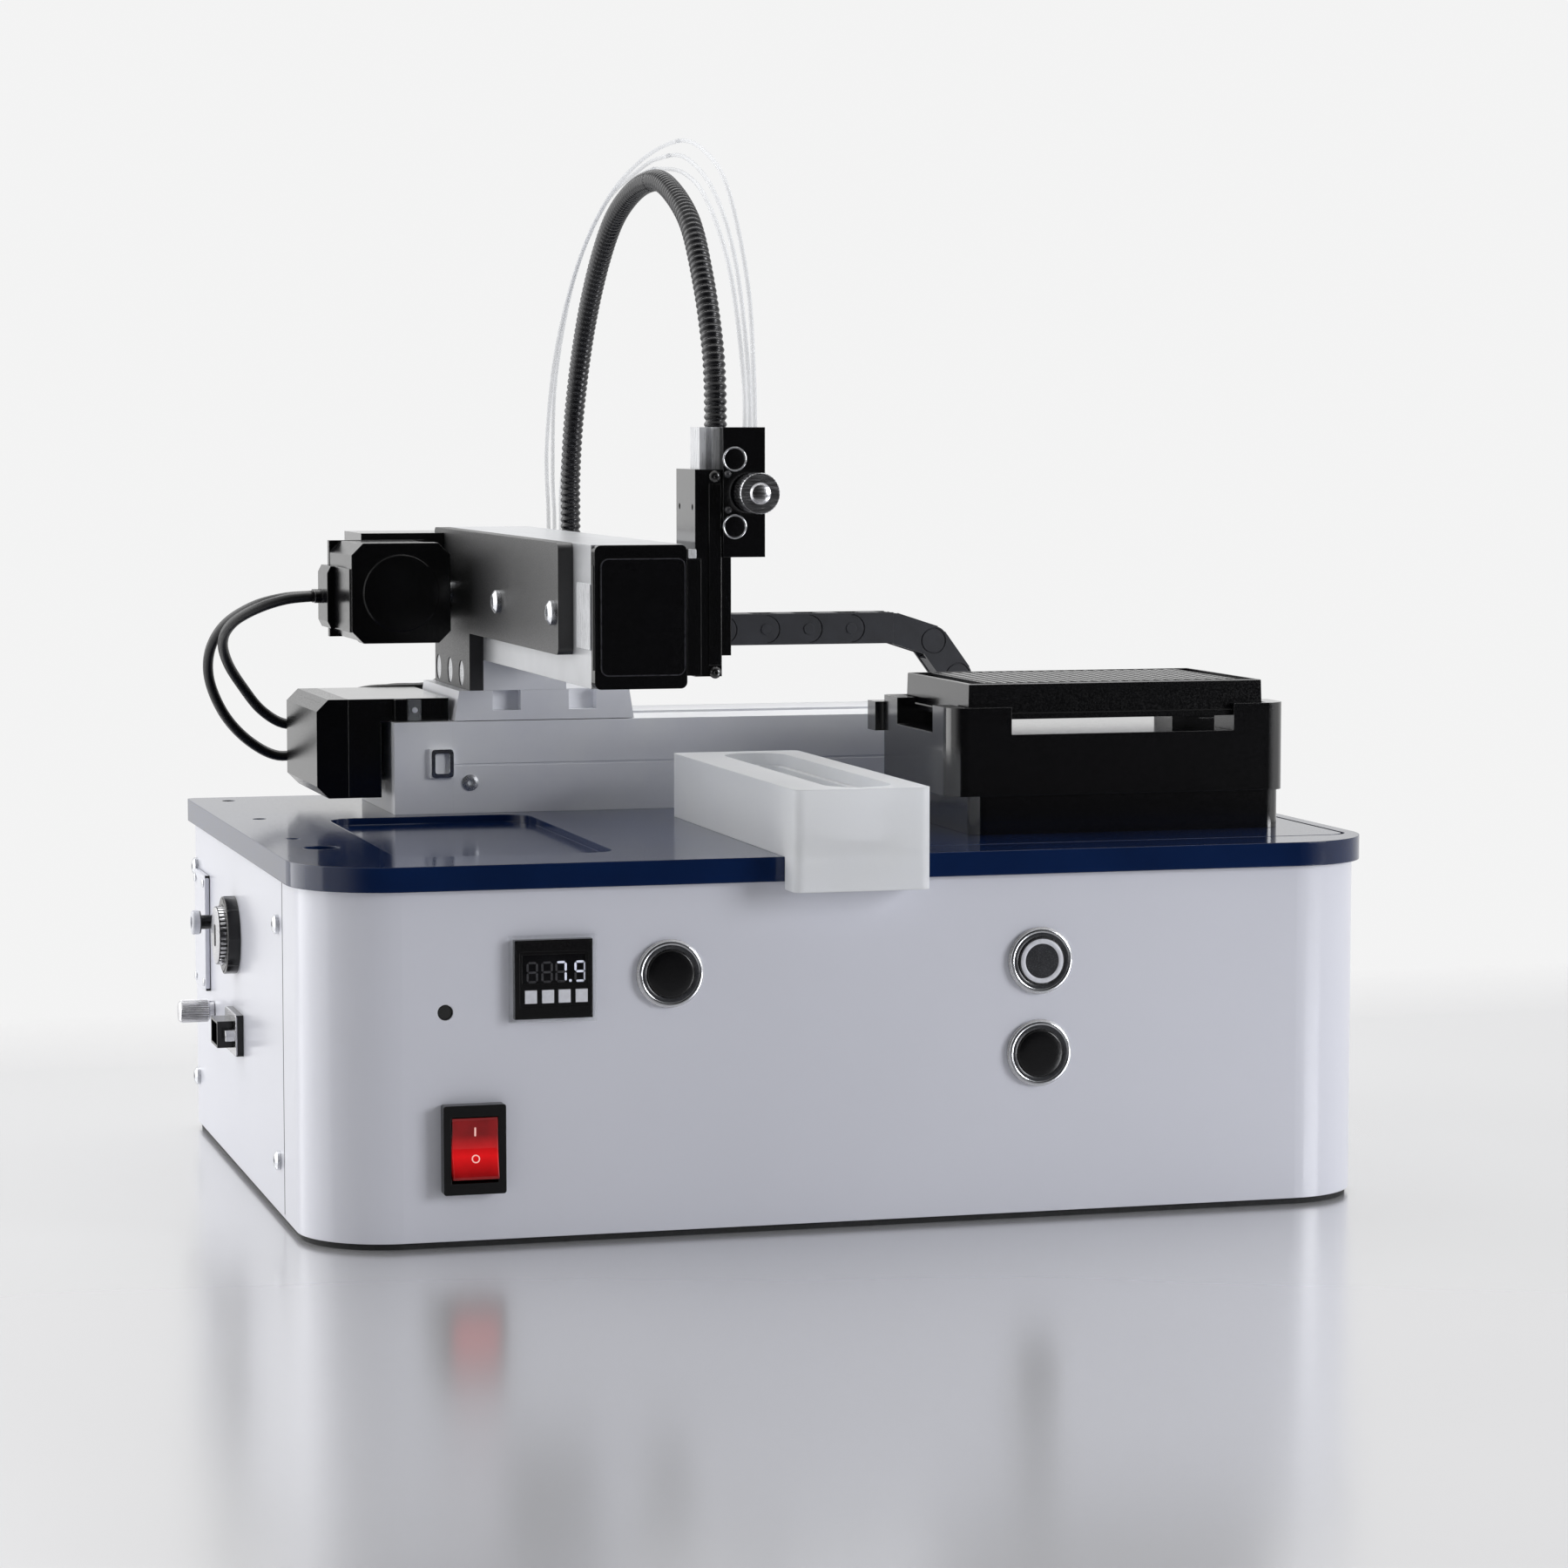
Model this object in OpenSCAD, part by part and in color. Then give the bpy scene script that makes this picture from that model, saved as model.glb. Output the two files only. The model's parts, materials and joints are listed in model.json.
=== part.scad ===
// Benchtop liquid handling robot: a gantry arm carries a dispensing head from a
// reservoir to a microplate nest. X runs right, Y to the back, Z up, in millimetres.
// The origin is the centre of the footprint, on the table.

/* [Housing] */
// Width of the housing
body_w = 430; // [426:1:440]
// Depth of the housing
body_d = 310; // [306:1:316]
// Height of the housing's top edge above the table
body_top = 136; // [132:1:142]
// Radius of the two rounded front corners
front_r = 35; // [25:1:38]
// Thickness of the housing's sheet
wall = 2.5; // [2:0.5:3]
// Gap between the housing and the table, filled by the rubber pad
base_gap = 2.5; // [2:0.5:4]
// Distance from the front to the seam of the side panels
seam_setback = 64; // [56:1:70]

/* [Deck] */
// Thickness of the deck plate
deck_t = 9.5; // [8:0.5:11]
// Overhang of the deck plate around the housing
deck_over = 3; // [1:0.5:4]
// Depth of the parking pocket in the deck
pocket_t = 3; // [2:0.5:4]

/* [X axis] */
// Travel of the X carriage
x_stroke = 230; // [150:5:230]
// Depth of the X axis profile, front to back
x_prof_d = 80; // [76:1:82]
// Height of the X axis profile
x_prof_h = 39; // [38:0.5:40]
// Length of the X carriage
carriage_l = 74; // [70:1:76]
// Height of the X carriage
carriage_h = 12.7; // [12:0.1:13.4]

/* [Y axis] */
// Travel of the Y slider
y_stroke = 150; // [100:5:150]
// Width of the Y axis profile
y_prof_w = 36; // [35:0.5:37]
// Height of the Y axis profile
y_prof_h = 54.5; // [53:0.5:56]
// Length of the Y slider's table
table_l = 70; // [60:1:80]
// Side of the square motors
motor_w = 42; // [40:1:43]

/* [Head] */
// Height of the vertical slide body
zbody_h = 79; // [76:1:80]
// Height of the head plate
head_h = 49.5; // [46:0.5:52]
// Number of nozzles
nozzles = 3; // [1:1:3]
// Diameter of the corrugated hose
hose_d = 9; // [8:0.5:9]
// Diameter of a fluid tube
tube_d = 1.8; // [1:0.1:1.8]

/* [Labware] */
// Length of the microplate
plate_l = 127.76; // [127:0.01:128]
// Width of the microplate
plate_w = 85.48; // [85:0.01:86]
// Height of the microplate
plate_h = 14.35; // [10:0.05:16]
// Length of the reservoir
res_l = 191; // [180:1:195]
// Width of the reservoir
res_w = 54.5; // [50:0.5:56]

/* [Controls] */
// Diameter of a push button's bezel
bezel_d = 26.3; // [24:0.1:28]
// Diameter of a push button's disc
disc_d = 18.4; // [16:0.1:20]
// Travel of a push button
button_travel = 1.5; // [0.5:0.1:1.5]
// Travel of a display key
key_travel = 0.4; // [0.2:0.1:0.4]
// Tilt of the pressed rocker
rocker_tilt = 7; // [5:0.5:8]

/* [Hidden] */
$fn = 64;

// Clearances
slide_gap = 0.3;      // between a moving piece and its neighbour
fit_gap = 0.1;        // radial, shaft in bearing bore
eps = 0.01;

// Housing, derived
front_y = -body_d / 2;
rear_y = body_d / 2;
side_x = body_w / 2;
seam_y = front_y + seam_setback;
deck_top = body_top + deck_t;
pad_inset = 1.5;
floor_t = 3;
rear_r = 3;
panel_gap = 0.4;
screw_head_d = 7.6;
screw_head_h = 2.4;
screw_d = 4;
screw_hole_d = 4.4;

// X axis, derived
x_front = front_y + 209;                    // front face of the profile
x_back = x_front + x_prof_d;
x_mid = (x_front + x_back) / 2;
x_top = deck_top + x_prof_h;
x_left = 71 - side_x;
x_block_l = 25;
x_cap_l = 6;
x_prof_0 = x_left + x_block_l;
x_prof_1 = x_prof_0 + carriage_l + x_stroke + 11;
x_screw_z = deck_top + 24.5;
screw_r = 5;
journal_r = 4;
x_wall = 8;
slot_w = 14;
x_slot_t = 6;

// X carriage and bracket
car_0 = x_prof_0 + 3;
car_1 = car_0 + carriage_l;
car_z0 = x_top + slide_gap;
car_z1 = car_z0 + carriage_h;
bracket_h = 13;
arm_z = car_z1 + bracket_h;                 // underside of the Y profile

// Drive housing at the X axis's left end
drive_x0 = -176;
drive_seam = -162.5;
drive_x1 = -148.5;
drive_y0 = x_front + 6;
drive_y1 = drive_y0 + x_prof_d;
drive_z0 = deck_top + 7;
drive_z1 = drive_z0 + 41.8;
drive_wall = 2;

// Y axis, derived
y_right = -69.5;                            // side face that the table runs on
y_left = y_right - y_prof_w;
y_front = front_y + 5.5;                    // front end of the profile
y_back = x_back - 4;
y_mid_x = (y_left + y_right) / 2;
arm_top = arm_z + y_prof_h;
y_mid_z = arm_z + y_prof_h / 2;
plate_t = 6;
cap_t = 6;
y_block_l = 20;
motor_x = -142;
motor_z = arm_z + 29;
motor_y1 = y_back - 22;
motor_y0 = motor_y1 - 62;
motor_chamfer = 5;

// Y slider and vertical slide
table_x0 = y_right + slide_gap;
table_x1 = -64;
table_y0 = front_y - 0.5;
zb_x0 = table_x1;
zb_x1 = -53.5;
zb_y0 = front_y + 9;
zb_y1 = zb_y0 + 29;
zb_z0 = arm_z + 3.8;
zb_z1 = zb_z0 + zbody_h;
ram_x0 = zb_x0 + 2.8;
ram_x1 = zb_x1 + slide_gap;
ram_y0 = zb_y0 + 3.8;
ram_y1 = ram_y0 + 14.2;

// Dispensing head
head_top = zb_z1 + 16;
head_x0 = ram_x1;
head_x1 = -36.6;
head_y0 = zb_y0 - 1;
head_plate_t = 6;
valve_y0 = head_y0 + head_plate_t;
valve_y1 = -113;
valve_z0 = zb_z1 - 31;
valve_z1 = head_top - 9;
knob_x = -42;
knob_z = zb_z1 - 9;
knob_r = 8;
nozzle_x = -48;
nozzle_pitch = 4.5;

// Energy chain behind the X axis
chain_w = 17;
chain_t = 14;
chain_y0 = x_back + 4.5;
chain_y1 = chain_y0 + chain_w;
chain_low = deck_top + 0.3;
chain_high = arm_z;
chain_bend_x = 102;
chain_fixed_x = 20;
chain_moving_x = -84;
chain_mid_z = (chain_low + chain_high + chain_t) / 2;
chain_r1 = (chain_high + chain_t - chain_low) / 2;

// Labware positions
nest_x0 = 52.5;
nest_x1 = 197.5;
nest_y0 = -100;
nest_y1 = -7;
riser_h = 15.8;
nest_z0 = deck_top + riser_h;
nest_floor = nest_z0 + 24.7;
nest_top = nest_z0 + 35.7;
ledge_z = nest_floor + 6;
plate_x = 124.7;
plate_y = -54.5;
plate_gap = 0.5;
res_x0 = -32;
res_y0 = -173;
res_top = deck_top + 26.7;
res_lip_z = body_top - 3;

// Controls on the front
button_at = [[-76.7, 101.8], [72.3, 101.8], [71.9, 65.5]];
bezel_h = 2.2;
barrel_r = 11;
button_floor = -0.8;                        // of the bezel's counterbore, from the front face
disc_proud = 0.5;
display_at = [-122.6, 101.6];
display_side = 30;
display_h = 4;
key_w = 4.6;
key_x = [-11.3, -4.7, 1.7, 8.3];
rocker_at = [-153.6, 38];
rocker_bezel_w = 24;
rocker_bezel_hh = 34;
rocker_proud = 5.5;
pivot_y = front_y - 1.5;
pivot_r = 1.2;

// ---- Helpers ----

function arc(cx, cy, r, a0, a1, n = 8) =
    [for (i = [0:n]) let (a = a0 + (a1 - a0) * i / n) [cx + r * cos(a), cy + r * sin(a)]];

// Outline of a rectangle: rf rounds the two corners at y0, rb the two at y1
function rounded(x0, y0, x1, y1, rf, rb) = concat(
    arc(x0 + rf, y0 + rf, rf, 180, 270),
    arc(x1 - rf, y0 + rf, rf, 270, 360),
    arc(x1 - rb, y1 - rb, rb, 0, 90),
    arc(x0 + rb, y1 - rb, rb, 90, 180));

// Slab from z0 to z1 with the same rounding, its corners true cylinders
module rounded_slab(z0, z1, x0, y0, x1, y1, rf, rb) {
    block([x0 + rf, y0, z0], [x1 - rf, y0 + rf, z1]);
    block([x0, y0 + rf, z0], [x1, y1 - rb, z1]);
    block([x0 + rb, y1 - rb, z0], [x1 - rb, y1, z1]);
    for (x = [x0 + rf, x1 - rf]) rod_z(z0, z1, x, y0 + rf, rf);
    for (x = [x0 + rb, x1 - rb]) rod_z(z0, z1, x, y1 - rb, rb);
}

// The housing's plan, made smaller by inset
module body_slab(z0, z1, inset) {
    rounded_slab(z0, z1, -side_x + inset, front_y + inset, side_x - inset, rear_y - inset,
        front_r - inset, max(rear_r - inset, 0.5));
}

module block(lo, hi) {
    translate(lo) cube(hi - lo);
}

module rod_x(x0, x1, y, z, r) {
    translate([x0, y, z]) rotate([0, 90, 0]) cylinder(h = x1 - x0, r = r);
}

module rod_y(y0, y1, x, z, r) {
    translate([x, y1, z]) rotate([90, 0, 0]) cylinder(h = y1 - y0, r = r);
}

module rod_z(z0, z1, x, y, r) {
    translate([x, y, z0]) cylinder(h = z1 - z0, r = r);
}

// Block with four chamfered edges along Y
module chamfered_y(lo, hi, c) {
    translate([0, hi[1], 0]) rotate([90, 0, 0]) linear_extrude(hi[1] - lo[1])
        polygon([[lo[0] + c, lo[2]], [hi[0] - c, lo[2]], [hi[0], lo[2] + c], [hi[0], hi[2] - c],
            [hi[0] - c, hi[2]], [lo[0] + c, hi[2]], [lo[0], hi[2] - c], [lo[0], lo[2] + c]]);
}

// Domed socket screw: its head starts at the origin and points along +Z, its shank along -Z
module dome_screw(head_d, head_h, shank_d, shank_l) {
    rise = head_h * 0.4;
    difference() {
        union() {
            cylinder(h = head_h - rise, d = head_d);
            translate([0, 0, head_h - rise]) cylinder(h = rise, d1 = head_d, d2 = head_d * 0.62);
            translate([0, 0, -shank_l]) cylinder(h = shank_l + eps, d = shank_d);
        }
        translate([0, 0, head_h - 1.2]) cylinder(h = 2, d = head_d * 0.36, $fn = 6);
    }
}

function unit(v) = v / norm(v);

// Points along a smooth curve through the given points, n per span
function smooth_path(p, n) = concat([for (i = [0:len(p) - 2], k = [0:n - 1])
    let (a = p[max(i - 1, 0)], b = p[i], c = p[i + 1], d = p[min(i + 2, len(p) - 1)], t = k / n)
    0.5 * (2 * b + (c - a) * t + (2 * a - 5 * b + 4 * c - d) * t * t + (3 * b - a - 3 * c + d) * t * t * t)],
    [p[len(p) - 1]]);

function tangents(p) = [for (i = [0:len(p) - 1]) unit(p[min(i + 1, len(p) - 1)] - p[max(i - 1, 0)])];

function carried_normals(t, start) = [for (i = 0, v = unit(start - (start * t[0]) * t[0]); i < len(t);
    v = i + 1 < len(t) ? unit(v - (v * t[i + 1]) * t[i + 1]) : v, i = i + 1) v];

// Round cord of radius r along the points p
module cord(p, r, sides = 10) {
    t = tangents(p);
    v = carried_normals(t, [0.9, 0.3, 0.2]);
    rings = [for (i = [0:len(p) - 1], k = [0:sides - 1])
        p[i] + r * (cos(360 * k / sides) * v[i] + sin(360 * k / sides) * cross(t[i], v[i]))];
    last = (len(p) - 1) * sides;
    polyhedron(rings, concat(
        [[for (k = [0:sides - 1]) k]],
        [[for (k = [0:sides - 1]) last + sides - 1 - k]],
        [for (i = [0:len(p) - 2], k = [0:sides - 1]) let (m = (k + 1) % sides, a = i * sides, b = a + sides)
            [a + k, b + k, b + m, a + m]]));
}

// ---- Housing ----

module base_pad() {
    color("#101012") body_slab(0, base_gap, pad_inset);
}

module base_plate() {
    color("silver") body_slab(base_gap, base_gap + floor_t, wall + 0.1);
}

module front_hole(at, r) {
    rod_y(front_y - 1, front_y + wall + 1, at[0], at[1], r);
}

module front_wrap() {
    color("white") difference() {
        body_slab(base_gap, body_top, 0);
        body_slab(base_gap - 1, body_top + 1, wall);
        block([-side_x - 1, seam_y, base_gap - 1], [side_x + 1, rear_y + 1, body_top + 1]);
        for (at = button_at) front_hole(at, barrel_r + 0.2);
        front_hole([-163.6, 89.8], 3);
        block([display_at[0] - 13.2, front_y - 1, display_at[1] - 13.2],
            [display_at[0] + 13.2, front_y + wall + 1, display_at[1] + 13.2]);
        block([rocker_at[0] - 10.2, front_y - 1, rocker_at[1] - 14.2],
            [rocker_at[0] + 10.2, front_y + wall + 1, rocker_at[1] + 14.2]);
    }
}

side_screw_z = [body_top - 19.6, base_gap + 21];
side_screw_at = [for (y = [seam_y + 11, rear_y - 8], z = side_screw_z) [y, z]];

module side_panel_blank(side) {
    x0 = side < 0 ? -side_x : side_x - wall;
    difference() {
        block([x0, seam_y + panel_gap, base_gap], [x0 + wall, rear_y - wall, body_top]);
        for (at = side_screw_at) rod_x(x0 - 1, x0 + wall + 1, at[0], at[1], screw_hole_d / 2);
    }
}

// Places of the connectors on the left panel, as [y, z]
round_port_at = [35, 99];
air_port_at = [75, 100];
knob_at = [100, 58.8];
comm_at = [29, 59.5];

module left_panel() {
    color("white") difference() {
        side_panel_blank(-1);
        rod_x(-side_x - 1, -side_x + wall + 1, round_port_at[0], round_port_at[1], 9);
        rod_x(-side_x - 1, -side_x + wall + 1, air_port_at[0], air_port_at[1], 3.1);
        rod_x(-side_x - 1, -side_x + wall + 1, knob_at[0], knob_at[1], 3.1);
        block([-side_x - 1, comm_at[0] - 9, comm_at[1] - 4.5],
            [-side_x + wall + 1, comm_at[0] + 9, comm_at[1] + 4.5]);
    }
}

module right_panel() {
    color("white") difference() {
        side_panel_blank(1);
        for (row = [0:1], i = [0:9]) block([side_x - wall - 1, 10 + i * 9, 45 + row * 40],
            [side_x + 1, 13 + i * 9, 75 + row * 40]);
    }
}

inlet_at = [side_x - 65, 40];
fan_at = [95 - side_x, 70];
rear_screw_at = [for (x = [15 - side_x, side_x - 15], z = [body_top - 16, base_gap + 15.5]) [x, z]];

module rear_panel() {
    color("white") difference() {
        intersection() {
            body_slab(base_gap, body_top, 0);
            block([-side_x - 1, rear_y - wall, base_gap], [side_x + 1, rear_y + 1, body_top]);
        }
        block([inlet_at[0] - 14, rear_y - wall - 1, inlet_at[1] - 10],
            [inlet_at[0] + 14, rear_y + 1, inlet_at[1] + 10]);
        for (at = rear_screw_at) rod_y(rear_y - wall - 1, rear_y + 1, at[0], at[1], screw_hole_d / 2);
        for (i = [-3:3]) block([fan_at[0] - 24, rear_y - wall - 1, fan_at[1] - 1.5 + i * 7],
            [fan_at[0] + 24, rear_y + 1, fan_at[1] + 1.5 + i * 7]);
    }
}

x_screw_at = [[x_prof_0 + 7.5, x_screw_z - 11.5], [x_prof_1 - 8, x_screw_z - 11.5]];

module base_screws() {
    color("gainsboro") {
        for (side = [-1, 1], at = side_screw_at)
            translate([side * side_x, at[0], at[1]]) rotate([0, side * 90, 0])
                dome_screw(screw_head_d, screw_head_h, screw_d, wall + 1);
        for (at = rear_screw_at)
            translate([at[0], rear_y, at[1]]) rotate([-90, 0, 0])
                dome_screw(screw_head_d, screw_head_h, screw_d, wall + 1);
        for (at = x_screw_at)
            translate([at[0], x_front, at[1]]) rotate([90, 0, 0]) dome_screw(7, 0.8, 3, 0);
    }
}

// ---- Deck ----

pocket = [-175, -123, -89.5, 43.5];
inlay = [28, -133.5, 212.5, 49];
inlay_w = 1.6;

module deck_plate() {
    x1 = side_x + deck_over;
    y0 = front_y - deck_over;
    color("#0b1740") difference() {
        rounded_slab(body_top, deck_top, -x1, y0, x1, -y0, front_r + deck_over, 4);
        rounded_slab(deck_top - pocket_t, deck_top + 1, pocket[0], pocket[1], pocket[2], pocket[3], 10, 12);
        difference() {
            rounded_slab(deck_top - 1, deck_top + 1, inlay[0], inlay[1], inlay[2], inlay[3], 10, 10);
            rounded_slab(deck_top - 2, deck_top + 2, inlay[0] + inlay_w, inlay[1] + inlay_w, inlay[2] - inlay_w,
                inlay[3] - inlay_w, 10 - inlay_w, 10 - inlay_w);
        }
        for (y = [rear_y - 192.5, rear_y - 104, rear_y - 15]) rod_z(deck_top - 2, deck_top + 1, 13 - side_x, y, 2.8);
        rod_z(body_top - 1, deck_top + 1, 18 - side_x, front_y + 79.5, 7);
    }
}

// ---- Plate nest ----

module nest_riser() {
    color("#2c2c30") rounded_slab(deck_top, deck_top + riser_h, nest_x0 + 10.5, nest_y0 + 2.5, nest_x1 - 1.5,
        nest_y1 - 2, 6, 6);
}

module nest_body() {
    cut_x0 = nest_x0 + 26.4;
    cut_x1 = nest_x1 - 23.3;
    half_l = plate_l / 2 + plate_gap;
    half_w = plate_w / 2 + plate_gap;
    color("#141416") union() {
        difference() {
            rounded_slab(nest_z0, nest_top, nest_x0, nest_y0, nest_x1, nest_y1, 8, 4);
            block([cut_x0, nest_y0 - 1, nest_floor], [cut_x1, nest_y1 + 1, nest_top + 1]);
            block([nest_x0 - 1, nest_y0 + 22, nest_floor], [nest_x1 + 1, nest_y1 - 22, nest_top + 1]);
            block([plate_x - half_l, plate_y - half_w, ledge_z], [plate_x + half_l, plate_y + half_w, nest_top + 1]);
        }
        // Stop and finger behind the rear left corner
        block([nest_x0 - 2.9, nest_y1 - eps, nest_top - 15.2], [nest_x0 + 9, nest_y1 + 11, nest_top - 3]);
        block([nest_x0 + 9 - eps, nest_y1, nest_top - 6], [nest_x0 + 24, nest_y1 + 3.5, nest_top - 1.5]);
    }
}

module microplate() {
    skirt = 2.5;
    x0 = plate_x - plate_l / 2;
    y0 = plate_y - plate_w / 2;
    color("#1a1a1c") {
        rounded_slab(ledge_z, ledge_z + skirt, x0, y0, x0 + plate_l, y0 + plate_w, 3, 3);
        rounded_slab(ledge_z + skirt - eps, ledge_z + plate_h, x0 + 0.9, y0 + 0.9, x0 + plate_l - 0.9,
            y0 + plate_w - 0.9, 3, 3);
    }
}

// ---- Reservoir ----

trough = [-15, -165.5, 11.5, 8];

module reservoir() {
    x1 = res_x0 + res_w;
    y1 = res_y0 + res_l;
    lip_y = front_y - deck_over - slide_gap;
    color([0.93, 0.94, 0.96, 0.8]) difference() {
        union() {
            rounded_slab(deck_top, res_top, res_x0, res_y0, x1, y1, 4, 3);
            rounded_slab(res_lip_z, deck_top + 1, res_x0, res_y0, x1, lip_y, 4, 0.5);
        }
        rounded_slab(res_top - 5, res_top + 1, trough[0], trough[1], trough[2], trough[3], 13, 13);
        rounded_slab(deck_top + 6, res_top + 1, trough[0] + 3.5, trough[1] + 3.5, trough[2] - 3.5, trough[3] - 3.5,
            9.5, 9.5);
    }
}

// ---- X axis ----

module x_profile() {
    color("silver") difference() {
        block([x_prof_0, x_front, deck_top], [x_prof_1, x_back, x_top]);
        block([x_prof_0 - 1, x_front + x_wall, deck_top + x_wall],
            [x_prof_1 + 1, x_back - x_wall, x_top - x_slot_t]);
        block([x_prof_0 - 1, x_mid - slot_w / 2, x_top - x_slot_t - 1],
            [x_prof_1 + 1, x_mid + slot_w / 2, x_top + 1]);
        block([x_prof_0 - 1, x_front - 1, deck_top + 20], [x_prof_1 + 1, x_front + 0.5, deck_top + 21]);
    }
}

latch = [9.8, 12.4, 2.2];   // length, height and stand-off of the catch on the left block

module x_end_blocks() {
    color("silver") {
        difference() {
            union() {
                block([x_left, x_front, deck_top], [x_prof_0, x_back, x_top]);
                block([x_prof_0 - latch[0], x_front - latch[2], deck_top + 15.3],
                    [x_prof_0 + 0.2, x_front + eps, deck_top + 15.3 + latch[1]]);
            }
            block([x_prof_0 - latch[0] + 1.4, x_front - latch[2] - 1, deck_top + 16.7],
                [x_prof_0 - 1.2, x_front - 0.8, deck_top + 13.9 + latch[1]]);
            rod_x(x_left - 1, x_prof_0 + 1, x_mid, x_screw_z, journal_r + fit_gap);
        }
        difference() {
            block([x_prof_1, x_front, deck_top], [x_prof_1 + x_cap_l, x_back, x_top]);
            rod_x(x_prof_1 - 1, x_prof_1 + x_cap_l + 1, x_mid, x_screw_z, journal_r + fit_gap);
        }
    }
}

motor_clear = 0.3;

module x_drive_body() {
    color("#2a2c33") difference() {
        union() {
            block([drive_seam, drive_y0, drive_z0], [drive_x1, drive_y1, drive_z1]);
            block([drive_x1 - eps, drive_y0, x_top], [x_prof_0 - 0.5, drive_y1, drive_z1]);
            rod_x(drive_x1 - eps, x_left, x_mid, x_screw_z, 13);
        }
        block([drive_seam - 1, drive_y0 + drive_wall, drive_z0 + drive_wall],
            [drive_x1 - 3, drive_y1 - drive_wall, drive_z1 - drive_wall]);
        rod_x(drive_x1 - 4, x_left + 1, x_mid, x_screw_z, 6.5);
    }
}

module x_drive_cap() {
    c = 5;
    color("#0c0c0e") difference() {
        translate([0, drive_y1, 0]) rotate([90, 0, 0]) linear_extrude(drive_y1 - drive_y0)
            polygon([[drive_seam, drive_z0], [drive_seam, drive_z1], [drive_x0 + c, drive_z1],
                [drive_x0, drive_z1 - c], [drive_x0, drive_z0 + c], [drive_x0 + c, drive_z0]]);
        block([drive_x0 + 3, drive_y0 + drive_wall, drive_z0 + drive_wall],
            [drive_seam + 1, drive_y1 - drive_wall, drive_z1 - drive_wall]);
    }
}

x_motor_w = 30;

module x_motor() {
    half = x_motor_w / 2;
    color("#303236") difference() {
        union() {
            block([drive_x0 + 3, x_mid - half, x_screw_z - half], [drive_x1 - 3, x_mid + half, x_screw_z + half]);
            rod_x(drive_x1 - 3 - eps, drive_x1 + 0.5, x_mid, x_screw_z, 5.5);
        }
        rod_x(drive_x1 - 6, drive_x1 + 1, x_mid, x_screw_z, journal_r + fit_gap);
    }
}

module x_screw() {
    color("silver") union() {
        rod_x(drive_x1 - 5.5, x_prof_0 + 1, x_mid, x_screw_z, journal_r);
        rod_x(x_prof_0 + slide_gap, x_prof_1 - slide_gap, x_mid, x_screw_z, screw_r);
        rod_x(x_prof_1 - 1, x_prof_1 + x_cap_l, x_mid, x_screw_z, journal_r);
    }
}

// ---- X carriage ----

module carriage() {
    slope = 2;
    stem_w = slot_w - 2;
    nut_w = 28;
    nut_top = x_top - x_slot_t - 0.5;
    color("silver") difference() {
        union() {
            translate([0, x_back, 0]) rotate([90, 0, 0]) linear_extrude(x_prof_d)
                polygon([[car_0 - slope, car_z0], [car_1 + slope, car_z0], [car_1, car_z1], [car_0, car_z1]]);
            block([car_0 + 10, x_mid - stem_w / 2, nut_top - 1], [car_1 - 10, x_mid + stem_w / 2, car_z0 + 1]);
            block([car_0 + 10, x_mid - nut_w / 2, x_screw_z - 8], [car_1 - 10, x_mid + nut_w / 2, nut_top]);
        }
        rod_x(car_0, car_1, x_mid, x_screw_z, screw_r + fit_gap);
        for (x = [car_0 + 14.5, car_0 + 47.5]) block([x, x_front - 1, car_z1 - 8.5],
            [x + 12, x_front + 6, car_z1 + 1]);
    }
}

module carriage_bracket() {
    color("#c9ccd2") {
        block([y_left, x_front, car_z1], [y_right, y_back, arm_z]);
        block([chain_moving_x - 7, y_back - eps, car_z1], [chain_moving_x + 8, chain_y1, arm_z]);
    }
}

module arm_plate() {
    x0 = y_left - plate_t;
    z0 = arm_z + 11.3;
    color("#8a8c90") difference() {
        translate([y_left, 0, 0]) rotate([90, 0, -90]) linear_extrude(plate_t) union() {
            polygon(rounded(-y_back, z0, 119, arm_top, 3, 3));
            polygon([[-y_back, car_z1], [-x_front, car_z1], [-x_front, z0 + 4], [-y_back, z0 + 4]]);
        }
        for (y = arm_button_y) rod_x(x0 - 1, y_left + 1, y, arm_screw_z, 2.7);
        for (y = arm_sunk_y) {
            rod_x(x0 - 1, y_left + 1, y, car_z1 + 6.5, 2.2);
            rod_x(x0 - 1, x0 + 2, y, car_z1 + 6.5, 5.5);
        }
    }
}

arm_button_y = [y_front + 38, y_front + 141.5, y_front + 245];
arm_sunk_y = [x_front + 18, x_front + 43, x_front + 68.5];
arm_screw_z = arm_z + 27.3;

module arm_screws() {
    x0 = y_left - plate_t;
    color("gainsboro") {
        for (y = arm_button_y) translate([x0, y, arm_screw_z]) rotate([0, -90, 0])
            dome_screw(9.5, 3, 5, plate_t - 0.2);
        for (y = arm_sunk_y) {
            rod_x(x0 + 0.3, x0 + 2, y, car_z1 + 6.5, 5.3);
            rod_x(x0 + 2 - eps, y_left - 0.2, y, car_z1 + 6.5, 2);
        }
    }
}

// ---- Y axis ----

module y_profile() {
    wall_y = 6;
    color("#c9ccd2") difference() {
        block([y_left, y_front, arm_z], [y_right, y_back, arm_top]);
        block([y_left + wall_y, y_front - 1, arm_z + 7], [y_right - wall_y, y_back + 1, arm_top - 7]);
        block([y_right - wall_y - 1, y_front - 1, y_mid_z - slot_w / 2],
            [y_right + 1, y_back + 1, y_mid_z + slot_w / 2]);
    }
}

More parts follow.
